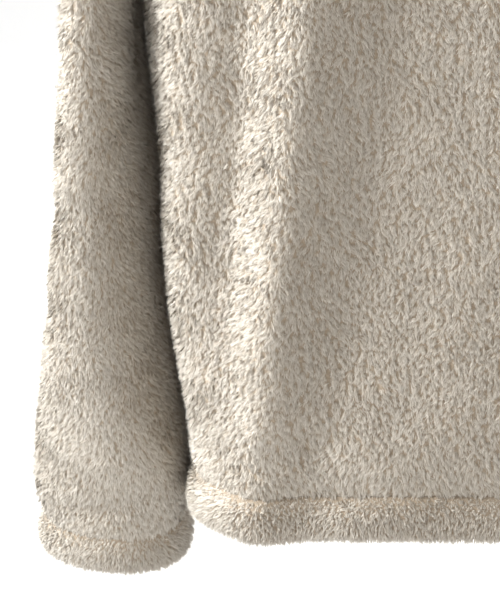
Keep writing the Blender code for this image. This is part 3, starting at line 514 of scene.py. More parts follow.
def sleeve_points(armhole, side, turns, cap_shares, places):
    """Outer points of a sleeve from the armhole down, worked out on the left."""
    rings, down = sleeve_rings(places, turns)
    first = rings[0]
    away = smooth_value(*zip(*CAP_LEAVES), turns)
    fall = -np.sqrt(1 - away**2)
    leave = unit(np.stack([away, CAP_SPREAD * np.sin(turns * 2 * math.pi), fall], -1))
    reach = np.linalg.norm(first - armhole, axis=-1)[:, None] * CAP_REACH
    t = np.array(cap_shares)[:, None, None]
    cap = bezier(armhole, armhole + leave * reach, first - down[0] * reach, first, t)
    points = np.concatenate([cap, rings[1:]])
    around = np.broadcast_to(turns, points.shape[:2])
    out = grid_normals(points, closed=True)
    scaled = [
        fold._replace(along0=fold.along0 * ROUND, along1=fold.along1 * ROUND)
        for fold in SLEEVE_FOLDS[side]
    ]
    depth = fold_depth(scaled, around * ROUND, points[:, :, 2])
    fade = np.ones(len(points))
    fade[: len(cap_shares)] = np.clip(np.array(cap_shares) / CAP_FOLDS_FADE, 0, 1)
    return points + out * (depth * fade[:, None])[:, :, None]


Cloth = namedtuple("Cloth", "points out closed")


def cloth(points, closed=False):
    return Cloth(points, grid_normals(points, closed), closed)


def column_shares(panel, columns):
    """Even places from the centre line to the side, one of them at the neck point."""
    shares = np.linspace(0, 1, columns + 1)
    shares[np.argmin(np.abs(shares - NECK_SHARE[panel]))] = NECK_SHARE[panel]
    return shares


def body_cloths(columns, lows, highs):
    """The back from its left edge to its right one, and each front, left then right."""
    low = np.linspace(0, 1, lows + 1)
    high = np.arange(1, highs + 1) / highs
    halves = {
        (panel, side): half_body(panel, side, column_shares(panel, columns), low, high)
        for panel, side in BODY_FOLDS
    }
    back = np.concatenate([halves["back", 1][:, ::-1], halves["back", -1][:, 1:]], axis=1)
    front_left, front_right = halves["front", 1], halves["front", -1][:, ::-1]
    return cloth(back), cloth(front_left), cloth(front_right)


def sleeve_cloth(back, front, side, lows, highs, cap_rows, rows):
    """A sleeve from the armhole that the back's and a front's edges leave."""
    armhole = np.arange(lows, lows + highs + 1)
    back_edge = back.points[armhole, 0 if side > 0 else -1]
    front_edge = front.points[armhole, -1 if side > 0 else 0]
    flip = np.array([side, 1, 1])
    loop = np.concatenate([back_edge, front_edge[-2:0:-1]]) * flip
    turns = np.arange(len(loop)) / len(loop)
    cap_shares = np.arange(cap_rows + 1) / cap_rows
    points = sleeve_points(loop, side, turns, cap_shares, np.linspace(0, 1, rows + 1)) * flip
    if side < 0:
        points = np.roll(points[:, ::-1], 1, axis=1)
    return cloth(points, closed=True)  # its rows go down and its columns clockwise, so it faces out


def neckline_of(back, front_left, front_right, columns):
    """Points along the neckline from the left of the zip round the back to its right."""
    runs = [front_left.points[-1], back.points[-1], front_right.points[-1]]
    left = [p for p in runs[0] if p[0] <= NECK_HALF_WIDTH - 1e-4]
    middle = [p for p in runs[1] if abs(p[0]) <= NECK_HALF_WIDTH + 1e-4]
    right = [p for p in runs[2] if p[0] >= -NECK_HALF_WIDTH + 1e-4]
    line = np.array(left + middle + right)
    length = line_length(line)
    return along_line(line, length, np.linspace(0, length[-1], columns + 1))


def collar_cloth(neckline, rows):
    """The collar, which stands on the neckline and leans in as it rises."""
    inward = unit((np.array(COLLAR_CENTRE) - neckline) * np.array([1, 1, 0]))
    heights = np.linspace(0, COLLAR_LEANS[-1].height, rows + 1)
    leans = smooth_value(*zip(*COLLAR_LEANS), heights)
    up = np.array([0, 0, 1.0])
    return cloth(np.array([neckline + up * h + inward * lean for h, lean in zip(heights, leans)]))


def smooth_loop(loop, count):
    """A band's cut as a closed smooth curve, from the seam down the face and up the inside."""
    knots = np.array(loop)
    length = line_length(knots)
    even = np.linspace(0, length[-1], count)
    return np.stack([smooth_value(length, column, even) for column in knots.T], -1)


def band_grid(edge, out, down, loop):
    """A casing's points: rows round its cut, columns along its seam."""
    return np.array([edge + out * o + down * d for o, d in loop])


# ---------------------------------------------------------------- meshes


def mesh_piece(name, points, faces, material, smooth=True):
    """A new piece from numpy points and faces that all have the same number of corners."""
    corners = faces.shape[1]
    mesh = bpy.data.meshes.new(name)
    mesh.vertices.add(len(points))
    mesh.vertices.foreach_set("co", np.ascontiguousarray(points, np.float32).ravel())
    mesh.loops.add(faces.size)
    mesh.loops.foreach_set("vertex_index", np.ascontiguousarray(faces, np.int32).ravel())
    mesh.polygons.add(len(faces))
    mesh.polygons.foreach_set("loop_start", np.arange(0, faces.size, corners, dtype=np.int32))
    mesh.update(calc_edges=True)
    mesh.validate()
    if smooth:
        mesh.shade_smooth()
    mesh.materials.append(material)
    piece = bpy.data.objects.new(name, mesh)
    bpy.context.scene.collection.objects.link(piece)
    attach(piece, "jacket")
    return piece


def shell_faces(rows, columns, closed):
    """Quads of a closed shell between an outer and an inner grid, one after the other."""
    count = rows * columns
    spans = columns if closed else columns - 1
    r, c, r2, c2 = cells_of(rows - 1, columns, spans)
    a, b = r * columns + c, r * columns + c2
    d, e = r2 * columns + c2, r2 * columns + c
    faces = [np.stack([a, b, d, e], 1), np.stack([a, e, d, b], 1) + count]
    k = np.arange(spans)
    k2 = (k + 1) % columns
    top = (rows - 1) * columns
    faces.append(np.stack([k2, k, count + k, count + k2], 1))
    faces.append(np.stack([top + k, top + k2, count + top + k2, count + top + k], 1))
    if not closed:
        r = np.arange(rows - 1) * columns
        faces.append(np.stack([r, r + columns, count + r + columns, count + r], 1))
        r = r + columns - 1
        faces.append(np.stack([r + columns, r, count + r, count + r + columns], 1))
    return np.concatenate(faces)


def shell_piece(name, sheet, finish):
    """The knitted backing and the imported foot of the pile, as one thin closed shell."""
    outer = sheet.points - sheet.out * PILE_FACE
    inner = sheet.points - sheet.out * WALL
    rows, columns = outer.shape[:2]
    points = np.concatenate([outer.reshape(-1, 3), inner.reshape(-1, 3)])
    piece = mesh_piece(name, points, shell_faces(rows, columns, sheet.closed), finish[0])
    piece.data.materials.append(finish[1])
    cells = (rows - 1) * (columns if sheet.closed else columns - 1)
    slots = np.zeros(len(piece.data.polygons), np.int32)
    slots[cells : 2 * cells] = 1
    piece.data.polygons.foreach_set("material_index", slots)
    piece.data.set_sharp_from_angle(angle=SHARP_ANGLE)
    return piece


def band_piece(name, grid, closed, finish):
    """A casing swept round its cut, whose rows run round the cut and whose columns run along."""
    rows, columns = grid.shape[:2]
    r, c, r2, c2 = cells_of(rows, columns, columns if closed else columns - 1)
    r2 = r2 % rows
    corners = ((r, c2), (r, c), (r2, c), (r2, c2))
    faces = [np.stack([row * columns + column for row, column in corners], 1)]
    points = grid.reshape(-1, 3)
    if not closed:
        ends = []
        for column, turned in ((0, False), (columns - 1, True)):
            middle = len(points)
            points = np.concatenate([points, grid[:, column].mean(axis=0)[None]])
            evens = np.arange(0, rows, 2)
            rim = [(evens + k) % rows * columns + column for k in range(3)]
            quad = np.stack([np.full(len(evens), middle), *rim], 1)
            ends.append(quad[:, ::-1] if turned else quad)
        faces += ends
    return mesh_piece(name, points, np.concatenate(faces), finish)


# ---------------------------------------------------------------- pile


def hashed(cells, salt):
    """Repeatable numbers from 0 to 1 for pairs of whole numbers."""
    first, second, third, scale = CLUMP_HASH
    wave = np.sin(cells[..., 0] * first + cells[..., 1] * second + salt * third) * scale
    return wave - np.floor(wave)


def clumps(places, size):
    """Each lock's nearest clump centre, on a jittered grid over places in metres."""
    cell = np.floor(places / size)
    best = np.full(len(places), 1e9)
    centre = np.zeros_like(places)
    clump = np.zeros_like(places)
    start, spread = CLUMP_JITTER
    for i in (-1, 0, 1):
        for j in (-1, 0, 1):
            near = cell + np.array([i, j])
            jitter = np.stack([hashed(near, 1), hashed(near, 2)], -1)
            spot = (near + start + spread * jitter) * size
            distance = np.sum(((spot - places) / size) ** 2, axis=1)
            closer = distance < best
            best[closer] = distance[closer]
            centre[closer] = spot[closer]
            clump[closer] = near[closer]
    return centre, clump


def scatter(points, out, density, generator):
    """Lock roots spread evenly over a grid, with the way out, the cell axes and the places."""
    rows, columns = points.shape[:2]
    a, b = points[:-1, :-1], points[:-1, 1:]
    d, e = points[1:, 1:], points[1:, :-1]
    halves = (np.cross(b - a, d - a), np.cross(d - a, e - a))
    area = (np.linalg.norm(halves[0], axis=2) + np.linalg.norm(halves[1], axis=2)) / 2
    wanted = area * density((a + b + d + e) / 4)
    count = np.floor(wanted + generator.random(wanted.shape)).astype(int)
    r, c = np.nonzero(count)
    repeat = count[r, c]
    r, c = np.repeat(r, repeat), np.repeat(c, repeat)
    v, u = generator.random(len(r)), generator.random(len(r))

    def at(grid):
        low = mix(grid[r, c], grid[r, c + 1], u[:, None])
        high = mix(grid[r + 1, c], grid[r + 1, c + 1], u[:, None])
        return mix(low, high, v[:, None])

    across = unit(points[r, c + 1] - points[r, c])
    up = unit(points[r + 1, c] - points[r, c])
    width = np.linalg.norm(np.diff(points, axis=1), axis=2).mean(axis=0)
    height = np.linalg.norm(np.diff(points, axis=0), axis=2).mean(axis=1)
    x = np.interp(c + u, np.arange(columns), running(width))
    y = np.interp(r + v, np.arange(rows), running(height))
    return at(points), unit(at(out)), across, up, np.stack([x, y], -1)


def shown_share(places):
    """1 on the side the photograph shows, and 0 elsewhere."""
    x, y, z = places[..., 0], places[..., 1], places[..., 2]
    return ease(*SHOWN_X, x) * ease(*SHOWN_Y, y) * ease(*SHOWN_Z, z)


def combed(way, fall, turn, lean):
    """A way that leans from standing towards the fall, turned aside on the surface."""
    flat = fall * np.cos(turn)[:, None] + np.cross(way, fall) * np.sin(turn)[:, None]
    return way * np.cos(lean)[:, None] + flat * np.sin(lean)[:, None]


def swirl(places):
    """From -1 to 1, in slow bent waves over the cloth."""
    x, y = places.T
    first, bend, second = SWIRL_WAVES
    return np.sin(x * first + SWIRL_BEND * np.sin(y * bend)) * np.sin(y * second + SWIRL_START)


def pile_piece(name, points, out, seed, style, material, round_cut=False):
    """Locks of pile over a grid, each one leaf. They lean down and draw together in clumps.

    On a casing they lean round its cut, so that they lie down its face and in under it.
    """
    generator = np.random.default_rng(seed)

    def density(places):
        return mix(style.other_density, style.shown_density, shown_share(places)) * 1e4

    roots, way, across, up, places = scatter(points, out, density, generator)
    count = len(roots)
    size = np.array([style.clump * style.stretch, style.clump])
    centre, clump = clumps(places, size)
    offset = (places - centre) / size
    from_centre = np.sqrt(np.sum(offset**2, axis=1))
    aside = offset[:, :1] * across + offset[:, 1:] * up
    down = np.array([0, 0, -1.0])
    fall = unit(-up if round_cut else down - way * (way @ down)[:, None])
    turn = (hashed(clump, 3) - 0.5) * 2 * style.clump_swing
    turn = turn + generator.normal(0, style.lock_swing, count)
    turn += swirl(places) * style.swirl
    lean = style.lean + (hashed(clump, 4) - 0.5) * 2 * style.lean_swing
    lean = lean + generator.normal(0, LOCK_LEANS, count)
    shortest, spread = CLUMP_LENGTHS
    length = style.length * generator.uniform(*LOCK_LENGTHS, count)
    length = length * (shortest + spread * hashed(clump, 5))
    length *= 1 + style.crown * (CLUMP_MIDDLE - from_centre**2)
    to_centre = -(offset[:, :1] * size[0] * across + offset[:, 1:] * size[1] * up) * style.gather
    base = roots - way * style.root
    tip = base + combed(way, fall, turn, lean) * length[:, None] + to_centre
    axis = unit(tip - base)
    flat_side = unit(np.cross(way, axis))
    twist = generator.normal(0, style.twist, count)[:, None]
    side = flat_side * np.cos(twist) + np.cross(axis, flat_side) * np.sin(twist)
    fineness = (style.shown_density * 1e4 / density(roots)) ** WIDTH_POWER
    half = (style.width / 2 * fineness * generator.uniform(*LOCK_WIDTHS, count))[:, None]
    shade = unit(way + aside * style.rounding + generator.normal(0, LOCK_SHADES, (count, 3)))
    vertices = np.stack([base + side * half, base - side * half, tip], 1)
    crisp = side * style.crispness
    normals = unit(np.stack([shade + crisp, shade - crisp, shade + axis * 0.3], 1))
    faces = np.arange(count * 3).reshape(-1, 3)
    piece = mesh_piece(name, vertices.reshape(-1, 3), faces, material)
    mesh = piece.data
    # The pile attribute holds height from root to tip, a chance per lock and the distance from the
    # clump's middle. The pile finish uses them for painted shade at the roots and clump edges,
    # painted glints and random tone.
    tone = np.ones((count, 3, 4), np.float32)
    tone[:, :, 0] = np.array([0.0, 0.0, 1.0])
    tone[:, :, 1] = generator.random(count)[:, None]
    tone[:, :, 2] = from_centre[:, None]
    attribute = mesh.attributes.new("pile", "FLOAT_COLOR", "POINT")
    attribute.data.foreach_set("color", tone.ravel())
    mesh.normals_split_custom_set_from_vertices(normals.reshape(-1, 3).astype(np.float32))
    span = places.max(axis=0) - places.min(axis=0)
    uv = (places[:, None] - places.min(axis=0) + LOCK_ON_PANEL) / (span.max() + PANEL_MARGIN)
    layer = mesh.uv_layers.new(name="OFBake")
    layer.data.foreach_set("uv", uv.reshape(-1, 2)[faces.ravel()].astype(np.float32).ravel())
    return piece


# ---------------------------------------------------------------- finishes


class Number:
    """A shader's number. Python's operators on it add Math nodes."""

    def __init__(self, finish, socket):
        self.finish = finish
        self.socket = socket

    def maths(self, operation, other, clamp=False):
        settings = {"operation": operation, "use_clamp": clamp}
        node = self.finish.add("ShaderNodeMath", settings, {0: self, 1: other})
        return Number(self.finish, node.outputs[0])

    def __add__(self, other):
        return self.maths("ADD", other)

    def __mul__(self, other):
        return self.maths("MULTIPLY", other)

    def __sub__(self, other):
        return self.maths("SUBTRACT", other)

    def clamped(self):
        return self.maths("ADD", 0.0, clamp=True)


def opaque(colour):
    """A colour's three parts with an alpha of 1. A socket stays as it is."""
    return colour if isinstance(colour, bpy.types.NodeSocket) else (*colour, 1.0)


class Finish:
    """A material: its Principled shader, with constants set on its own sockets."""

    def __init__(self, name, **constants):
        self.material = bpy.data.materials.new(name)
        self.material.use_nodes = True
        self.tree = self.material.node_tree
        self.shader = self.tree.nodes["Principled BSDF"]
        for socket, value in constants.items():
            self.shader.inputs[socket.replace("_", " ")].default_value = value

    def add(self, kind, settings=None, sockets=None):
        """Any node: its settings are set first, then its sockets' values or links."""
        node = self.tree.nodes.new(kind)
        for key, value in (settings or {}).items():
            setattr(node, key, value)
        for key, value in (sockets or {}).items():
            self.put(node.inputs[key], value)
        return node

    def put(self, socket, value):
        if isinstance(value, Number):
            value = value.socket
        if isinstance(value, bpy.types.NodeSocket):
            self.tree.links.new(value, socket)
        else:
            socket.default_value = value

    def shade(self, **sockets):
        for key, value in sockets.items():
            self.put(self.shader.inputs[key.replace("_", " ")], value)
        return self.material

    def place(self):
        """The surface's place in metres, which stays with the piece."""
        return self.add("ShaderNodeTexCoord").outputs["Object"]

    def stretched(self, scale):
        """The place with each axis scaled."""
        settings = {"operation": "MULTIPLY"}
        node = self.add("ShaderNodeVectorMath", settings, {0: self.place(), 1: scale})
        return node.outputs[0]

    def noise(self, scale, detail=2.0, vector=None):
        sockets = {"Vector": vector or self.place(), "Scale": scale, "Detail": detail}
        return Number(self, self.add("ShaderNodeTexNoise", {}, sockets).outputs[0])

    def wave(self, scale, direction):
        settings = {"bands_direction": direction}
        sockets = {"Vector": self.place(), "Scale": scale}
        return Number(self, self.add("ShaderNodeTexWave", settings, sockets).outputs["Fac"])

    def colours(self, factor, first, second, blend="MIX"):
        """Two colours mixed by a factor. A plain colour is made opaque."""
        settings = {"data_type": "RGBA", "blend_type": blend}
        sockets = {6: opaque(first), 7: opaque(second)}
        return self.add("ShaderNodeMix", settings, {0: factor, **sockets}).outputs[2]

    def bump(self, height, strength, distance):
        sockets = {"Height": height, "Strength": strength, "Distance": distance}
        return self.add("ShaderNodeBump", {}, sockets).outputs[0]


def pile_finish(name, settings):
    """Polyester pile: pale tips over warm roots, in patches of tone. The roots' darkness and the
    darkening round each clump's edge are painted shade, and some tips carry painted glints.
    """
    finish = Finish(name, Sheen_Weight=0.25, Sheen_Roughness=0.4)
    finish.shader.inputs["Specular IOR Level"].default_value = 0.4
    finish.shader.inputs["Sheen Tint"].default_value = opaque(settings.tip_colour)
    attribute = finish.add("ShaderNodeAttribute", {"attribute_name": "pile"})
    parts = finish.add("ShaderNodeSeparateColor", {}, {0: attribute.outputs["Color"]})
    height, chance, from_centre = (Number(finish, parts.outputs[k]) for k in range(3))
    # Painted shade: darker towards the roots and round each clump's edge, where shade falls between
    # the locks.
    fade = (height * 1.15 - from_centre * 0.75 + (chance - 0.5) * 0.4 + 0.26).clamped()
    base = finish.colours(fade, settings.root_shade_colour, settings.tip_colour)
    # Painted highlight: some tips are mixed towards a near-white glint colour.
    painted_glint = ((chance - 0.72) * 3.0 + height * 0.9 - 0.9).clamped()
    base = finish.colours(painted_glint, base, settings.painted_glint_colour)
    patches = (finish.noise(24.0) * 0.6 + finish.noise(170.0) * 0.4 - 0.5) * 0.7 + 0.5
    shaded = finish.colours(patches.clamped(), PATCH_SHADE, (1.0, 1.0, 1.0))
    colour = finish.colours(1.0, base, shaded, "MULTIPLY")
    return finish.shade(Base_Color=colour, Roughness=chance * 0.3 + 0.30)


def foot_finish(name, settings):
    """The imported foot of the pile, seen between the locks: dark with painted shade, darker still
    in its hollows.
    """
    finish = Finish(name, Roughness=0.9, Sheen_Weight=0.3)
    lumps = finish.noise(420.0, 3.0)
    # Painted shade: root and foot colours, darker where the bump is low.
    colour = finish.colours(lumps, settings.root_shade_colour, settings.foot_shade_colour)
    return finish.shade(Base_Color=colour, Normal=finish.bump(lumps, 0.6, 0.002))


def knit_finish(name, settings):
    """The knitted side of the cloth, inside the jacket: fine ribs and rows of loops, with painted
    shade in the grooves between the ribs.
    """
    finish = Finish(name, Roughness=0.85, Sheen_Weight=0.2)
    ribs = finish.wave(520.0, "X") * 0.5 + finish.wave(430.0, "Z") * 0.5
    fuzz = finish.noise(900.0, 2.0)
    height = ribs * 0.7 + fuzz * 0.3
    # Painted shade: darker where the ribs' bump is low.
    colour = finish.colours(height, settings.knit_painted_shade, settings.knit_colour)
    return finish.shade(Base_Color=colour, Normal=finish.bump(height, 0.5, 0.0008))


def tape_finish(name, settings):
    """Woven tape: a fine twill across the zip, with painted shade between its threads."""
    finish = Finish(name, Roughness=0.75, Sheen_Weight=0.15)
    twill = finish.wave(900.0, "DIAGONAL")
    # Painted shade: darker where the twill's bump is low.
    colour = finish.colours(twill, settings.tape_painted_shade, settings.tape_colour)
    return finish.shade(Base_Color=colour, Normal=finish.bump(twill, 0.4, 0.0003))


def teeth_finish(name, settings):
    """Moulded teeth, a little glossy where the slider has rubbed them."""
    finish = Finish(name, Coat_Weight=0.1)
    rubbed = finish.noise(180.0)
    colour = finish.colours(rubbed, settings.teeth_shade, settings.teeth_colour)
    return finish.shade(Base_Color=colour, Roughness=rubbed * 0.25 + 0.28)


def metal_finish(name, settings):
    """Plated metal, brushed and faintly worn."""
    finish = Finish(name, Metallic=1.0)
    scratches = finish.noise(700.0, 4.0, finish.stretched((1.0, 1.0, 0.08)))
    colour = finish.colours(scratches, settings.metal_shade, settings.metal_colour)
    normal = finish.bump(scratches, 0.15, 0.0002)
    return finish.shade(Base_Color=colour, Roughness=scratches * 0.2 + 0.24, Normal=normal)


def plain_finish(name, colour, roughness):
    finish = Finish(name, Roughness=roughness)
    haze = finish.noise(1.5)
    lighter = tuple(min(1.0, part * 1.01) for part in colour)
    return finish.shade(Base_Color=finish.colours(haze, colour, lighter))


# ---------------------------------------------------------------- settings


def number_setting(name, description, default, **options):
    return bpy.props.FloatProperty(
        name=name, description=description, default=default, min=0.0, **options
    )


def length_setting(name, description, default):
    return number_setting(name, description, default, unit="LENGTH")


def angle_setting(name, description, degrees):
    return number_setting(name, description, math.radians(degrees), subtype="ANGLE")


def colour_setting(name, description, default):
    kind = {"size": 3, "min": 0.0, "max": 1.0, "subtype": "COLOR"}
    return bpy.props.FloatVectorProperty(
        name=name, description=description, default=default, **kind
    )


class PileSettings(bpy.types.PropertyGroup):
    length: length_setting("Lock length", "Length of a lock of pile, root to tip", 0.0064)
    width: length_setting("Lock width", "Width of a lock at its root", 0.0011)
    root: length_setting("Root depth", "How far below the cloth's face a lock is rooted", 0.0034)
    clump: length_setting("Clump size", "Distance between the middles of two clumps", 0.0027)
    lean: angle_setting("Lean", "How far the pile leans down from standing", 48)
    clump_swing: angle_setting("Clump swing", "How far a clump may turn aside", 34)
    gather: number_setting("Gather", "How far tips draw in to their clump's middle", 0.5)
    crown: number_setting("Crown", "How much shorter the locks are round a clump's edge", 1.4)
    rounding: number_setting("Rounding", "How round a clump is shaded", 0.9)
    shown_density: number_setting("Locks shown", "Locks per square cm, side shown", 156.0)
    other_density: number_setting("Locks elsewhere", "Locks per square cm elsewhere", 42.0)
    tip_colour: colour_setting("Tips", "Colour of the pile's tips", (0.745, 0.715, 0.655))
    # Painted highlight: the colour of the glints painted on the brightest tips.
    painted_glint_colour: colour_setting("Glints", "Colour of the brightest tips", (0.95, 0.935, 0.90))
    # Painted shade: the dark root colour stands for the shade among the locks.
    root_shade_colour: colour_setting("Roots", "Colour of the pile's roots", (0.36, 0.29, 0.21))
    # Painted shade: the foot's dark colour stands for the shade between the locks.
    foot_shade_colour: colour_setting("Foot", "Colour of the packed foot of the pile", (0.40, 0.34, 0.27))
    knit_colour: colour_setting("Knit", "Colour of the knitted side", (0.62, 0.53, 0.42))
    # Painted shade: the colour in the grooves between the knitted ribs.
    knit_painted_shade: colour_setting("Knit shade", "Colour between the knitted ribs", (0.46, 0.38, 0.29))


class ZipSettings(bpy.types.PropertyGroup):
    tape_colour: colour_setting("Tape", "Colour of the tape", (0.52, 0.44, 0.34))
    # Painted shade: the colour between the tape's threads.
    tape_painted_shade: colour_setting("Tape shade", "Colour between its threads", (0.38, 0.31, 0.23))
    teeth_colour: colour_setting("Teeth", "Colour of the teeth", (0.62, 0.55, 0.45))
    teeth_shade: colour_setting("Teeth shade", "Colour of their duller spots", (0.50, 0.43, 0.34))
    metal_colour: colour_setting("Metal", "Colour of the slider and its tab", (0.62, 0.60, 0.57))
    metal_shade: colour_setting("Metal shade", "Colour of its scratches", (0.46, 0.44, 0.42))
    pitch: length_setting("Tooth pitch", "Distance between two teeth that meet", 0.0016)


class StageSettings(bpy.types.PropertyGroup):
    floor_drop: length_setting("Floor", "How far the floor lies below the neck", 1.05)
    paper: colour_setting("Paper", "Colour of the floor and the backdrop", (0.90, 0.90, 0.90))
    key_power: number_setting("Key light", "Power of the key light in watts", 150.0)
    fill_power: number_setting("Fill light", "Power of the fill light in watts", 14.0)
    front_power: number_setting("Front light", "Power of the front light in watts", 45.0)
    paper_power: number_setting("Backdrop light", "Power on the backdrop in watts", 150.0)
    sky: number_setting("Surroundings", "Brightness of the surroundings", 0.01)


TAKEN = "width clump clump_swing gather crown rounding shown_density other_density"
Style = namedtuple(
    "Style", TAKEN + " length root lean stretch twist swirl lock_swing lean_swing crispness"
)


def pile_style(settings, length=1.0, stretch=1.0, lean=1.0, root=1.0):
    """How one piece's pile lies: the settings, some of them scaled, and the fixed swings."""
    return Style(
        **{name: getattr(settings, name) for name in TAKEN.split()},
        length=settings.length * length,
        root=settings.root * root,
        lean=settings.lean * lean,
        stretch=stretch,
        twist=math.radians(18),
        swirl=math.radians(26),
        lock_swing=math.radians(16),
        lean_swing=math.radians(12),
        crispness=0.25,
    )


MADE = {}


def shared(name, make):
    """Makes a thing once, for every operator that needs it."""
    if name not in MADE:
        MADE[name] = make()
    return MADE[name]


def shells():
    """The cloths at the shells' fineness."""

    def make():
        back, left, right = body_cloths(BODY_COLUMNS, BODY_ROWS_LOW, BODY_ROWS_HIGH)
        counts = (BODY_ROWS_LOW, BODY_ROWS_HIGH, CAP_ROWS, SLEEVE_ROWS)
        sleeves = [
            sleeve_cloth(back, front, side, *counts) for front, side in ((left, 1), (right, -1))
        ]
        collar = collar_cloth(neckline_of(back, left, right, COLLAR_COLUMNS), COLLAR_ROWS)
        names = ("back", "front_left", "front_right", "sleeve_left", "sleeve_right", "collar")
        return dict(zip(names, (back, left, right, *sleeves, collar)))

    return shared("shells", make)


def fleece_finishes():
    """The three finishes of the cloth: its pile, the pile's foot and the knitted side."""
    settings = bpy.context.scene.jacket_pile

    def make():
        return {
            "pile": pile_finish("fleece_pile", settings),
            "foot": foot_finish("fleece_foot", settings),
            "knit": knit_finish("fleece_knit", settings),
        }

    return shared("fleece", make)


def finer(sheet):
    """A cloth's points and normals on a finer grid, for scattering."""
    points, out = sheet.points, sheet.out
    width = np.linalg.norm(np.diff(points, axis=1), axis=2).sum(axis=1).max()
    height = np.linalg.norm(np.diff(points, axis=0), axis=2).sum(axis=0).max()
    rows, columns = int(height / PILE_CELL), int(width / PILE_CELL)
    if sheet.closed:
        points = np.concatenate([points, points[:, :1]], axis=1)
        out = np.concatenate([out, out[:, :1]], axis=1)
    r = np.linspace(0, points.shape[0] - 1, rows)
    c = np.linspace(0, points.shape[1] - 1, columns)
    r0 = np.minimum(r.astype(int), points.shape[0] - 2)
    c0 = np.minimum(c.astype(int), points.shape[1] - 2)
    rt, ct = (r - r0)[:, None, None], (c - c0)[None, :, None]

    def worked(grid):
        low = mix(grid[r0][:, c0], grid[r0][:, c0 + 1], ct)
        high = mix(grid[r0 + 1][:, c0], grid[r0 + 1][:, c0 + 1], ct)
        return mix(low, high, rt)

    return worked(points), unit(worked(out))


def lengthened(grid, reach):
    """A grid with its first row drawn out by a reach, over the seam below it."""
    first = grid[0] + unit(grid[0] - grid[1]) * reach
    return np.concatenate([first[None], grid[1:]])


def cloth_with_pile(node, seed, stretch=1.0, parts=1):
    """One cloth node's shell and pile, which ride with the jacket and stand for the solid."""
    settings = bpy.context.scene.jacket_pile
    finishes = fleece_finishes()
    sheet = shells()[node]
    shell = shell_piece(node + "_shell", sheet, (finishes["foot"], finishes["knit"]))
    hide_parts(node)
    points, out = finer(sheet)
    # A sleeve's rows go down, so its seam with the cuff is at its last row.
    if sheet.closed:
        points = lengthened(points[::-1], SEAM_COVER)[::-1]
    else:
        points = lengthened(points, SEAM_COVER)
    style = pile_style(settings, stretch=stretch)
    edges = np.linspace(0, points.shape[1] - 1, parts + 1).astype(int)
    for part in range(parts):
        span = slice(edges[part], edges[part + 1] + 1)
        name = node + "_pile" + ("" if parts == 1 else "_" + "abcd"[part])
        grid = points[:, span], out[:, span]
        pile = pile_piece(name, *grid, seed + part, style, finishes["pile"])


# ---------------------------------------------------------------- operators


class MakeBody(bpy.types.Operator):
    """The back and the two fronts, with their pile"""

    bl_idname = "jacket.body"
    bl_label = "Back and fronts"

    def execute(self, context):
        cloth_with_pile("back", 11, stretch=1.7, parts=4)
        cloth_with_pile("front_left", 21, stretch=1.5)
        cloth_with_pile("front_right", 22, stretch=1.5)
        return {"FINISHED"}


class MakeSleeves(bpy.types.Operator):
    """The two sleeves, with their pile"""

    bl_idname = "jacket.sleeves"
    bl_label = "Sleeves"

    def execute(self, context):
        cloth_with_pile("sleeve_left", 31, stretch=1.3, parts=2)
        cloth_with_pile("sleeve_right", 32, stretch=1.3)
        return {"FINISHED"}


class MakeCollar(bpy.types.Operator):
    """The stand collar, with pile on its face"""

    bl_idname = "jacket.collar"
    bl_label = "Collar"

    def execute(self, context):
        cloth_with_pile("collar", 41)
        return {"FINISHED"}


def casing(node, edge, out, down, loop, closed, seed):
    """A turned casing with its pile, which stands for the solid."""
    settings = bpy.context.scene.jacket_pile
    finishes = fleece_finishes()
    curve = smooth_loop(loop, LOOP_POINTS)
    away = unit(curve - curve.mean(axis=0))
    round_it = np.minimum(np.linspace(0, 1, LOOP_POINTS) / PLUMP_ENDS, 1)
    curve = curve + np.array(PLUMP) * np.sin(math.pi * round_it)[:, None]
    away[:, 1] = np.maximum(away[:, 1], 0)  # its top stays at the seam
    sunk = curve - away * PILE_FACE
    band = band_piece(node + "_casing", band_grid(edge, out, down, sunk), closed, finishes["foot"])
    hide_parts(node)
    grid = band_grid(edge, out, down, curve)
    if closed:
        grid = np.concatenate([grid, grid[:, :1]], axis=1)
    # Rows run down the face: turned over, they go up as a cloth's do.
    sheet = cloth(grid[::-1])
    style = pile_style(settings, length=0.86, stretch=0.8, lean=0.8, root=0.7)
    pile = pile_piece(node + "_pile", *finer(sheet), seed, style, finishes["pile"], round_cut=True)


class MakeCasings(bpy.types.Operator):
    """The hem's and the cuffs' turned casings, with their pile"""

    bl_idname = "jacket.casings"
    bl_label = "Hem and cuffs"

    def execute(self, context):
        made = shells()
        around = [made[name] for name in ("front_left", "back", "front_right")]
        edge = np.concatenate([sheet.points[0, (k > 0) :] for k, sheet in enumerate(around)])
        out = np.concatenate([sheet.out[0, (k > 0) :] for k, sheet in enumerate(around)])
        down = np.array([0, 0, -1.0])
        casing("hem_band", edge, out, down, HEM_LOOP, False, 51)
        for side, seed in (("left", 52), ("right", 53)):
            sheet = made["sleeve_" + side]
            down = unit(sheet.points[-1].mean(axis=0) - sheet.points[-2].mean(axis=0))
            edge, out = sheet.points[-1][::-1], sheet.out[-1][::-1]
            casing("cuff_" + side, edge, out, down, CUFF_LOOP, True, seed)
        return {"FINISHED"}


def zip_line():
    """The middle of the zip's plain strip, from its bottom up, worked out from its own rows."""
    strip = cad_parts["zip_chain"]
    points = np.empty(len(strip.data.vertices) * 3)
    strip.data.vertices.foreach_get("co", points)
    points = np.unique(np.round(points.reshape(-1, 3), 5), axis=0)
    edge = points[points[:, 0] > 0]
    edge = edge[np.argsort(edge[:, 2])]
    return edge.reshape(-1, 2, 3).mean(axis=1) * np.array([0, 1, 1])


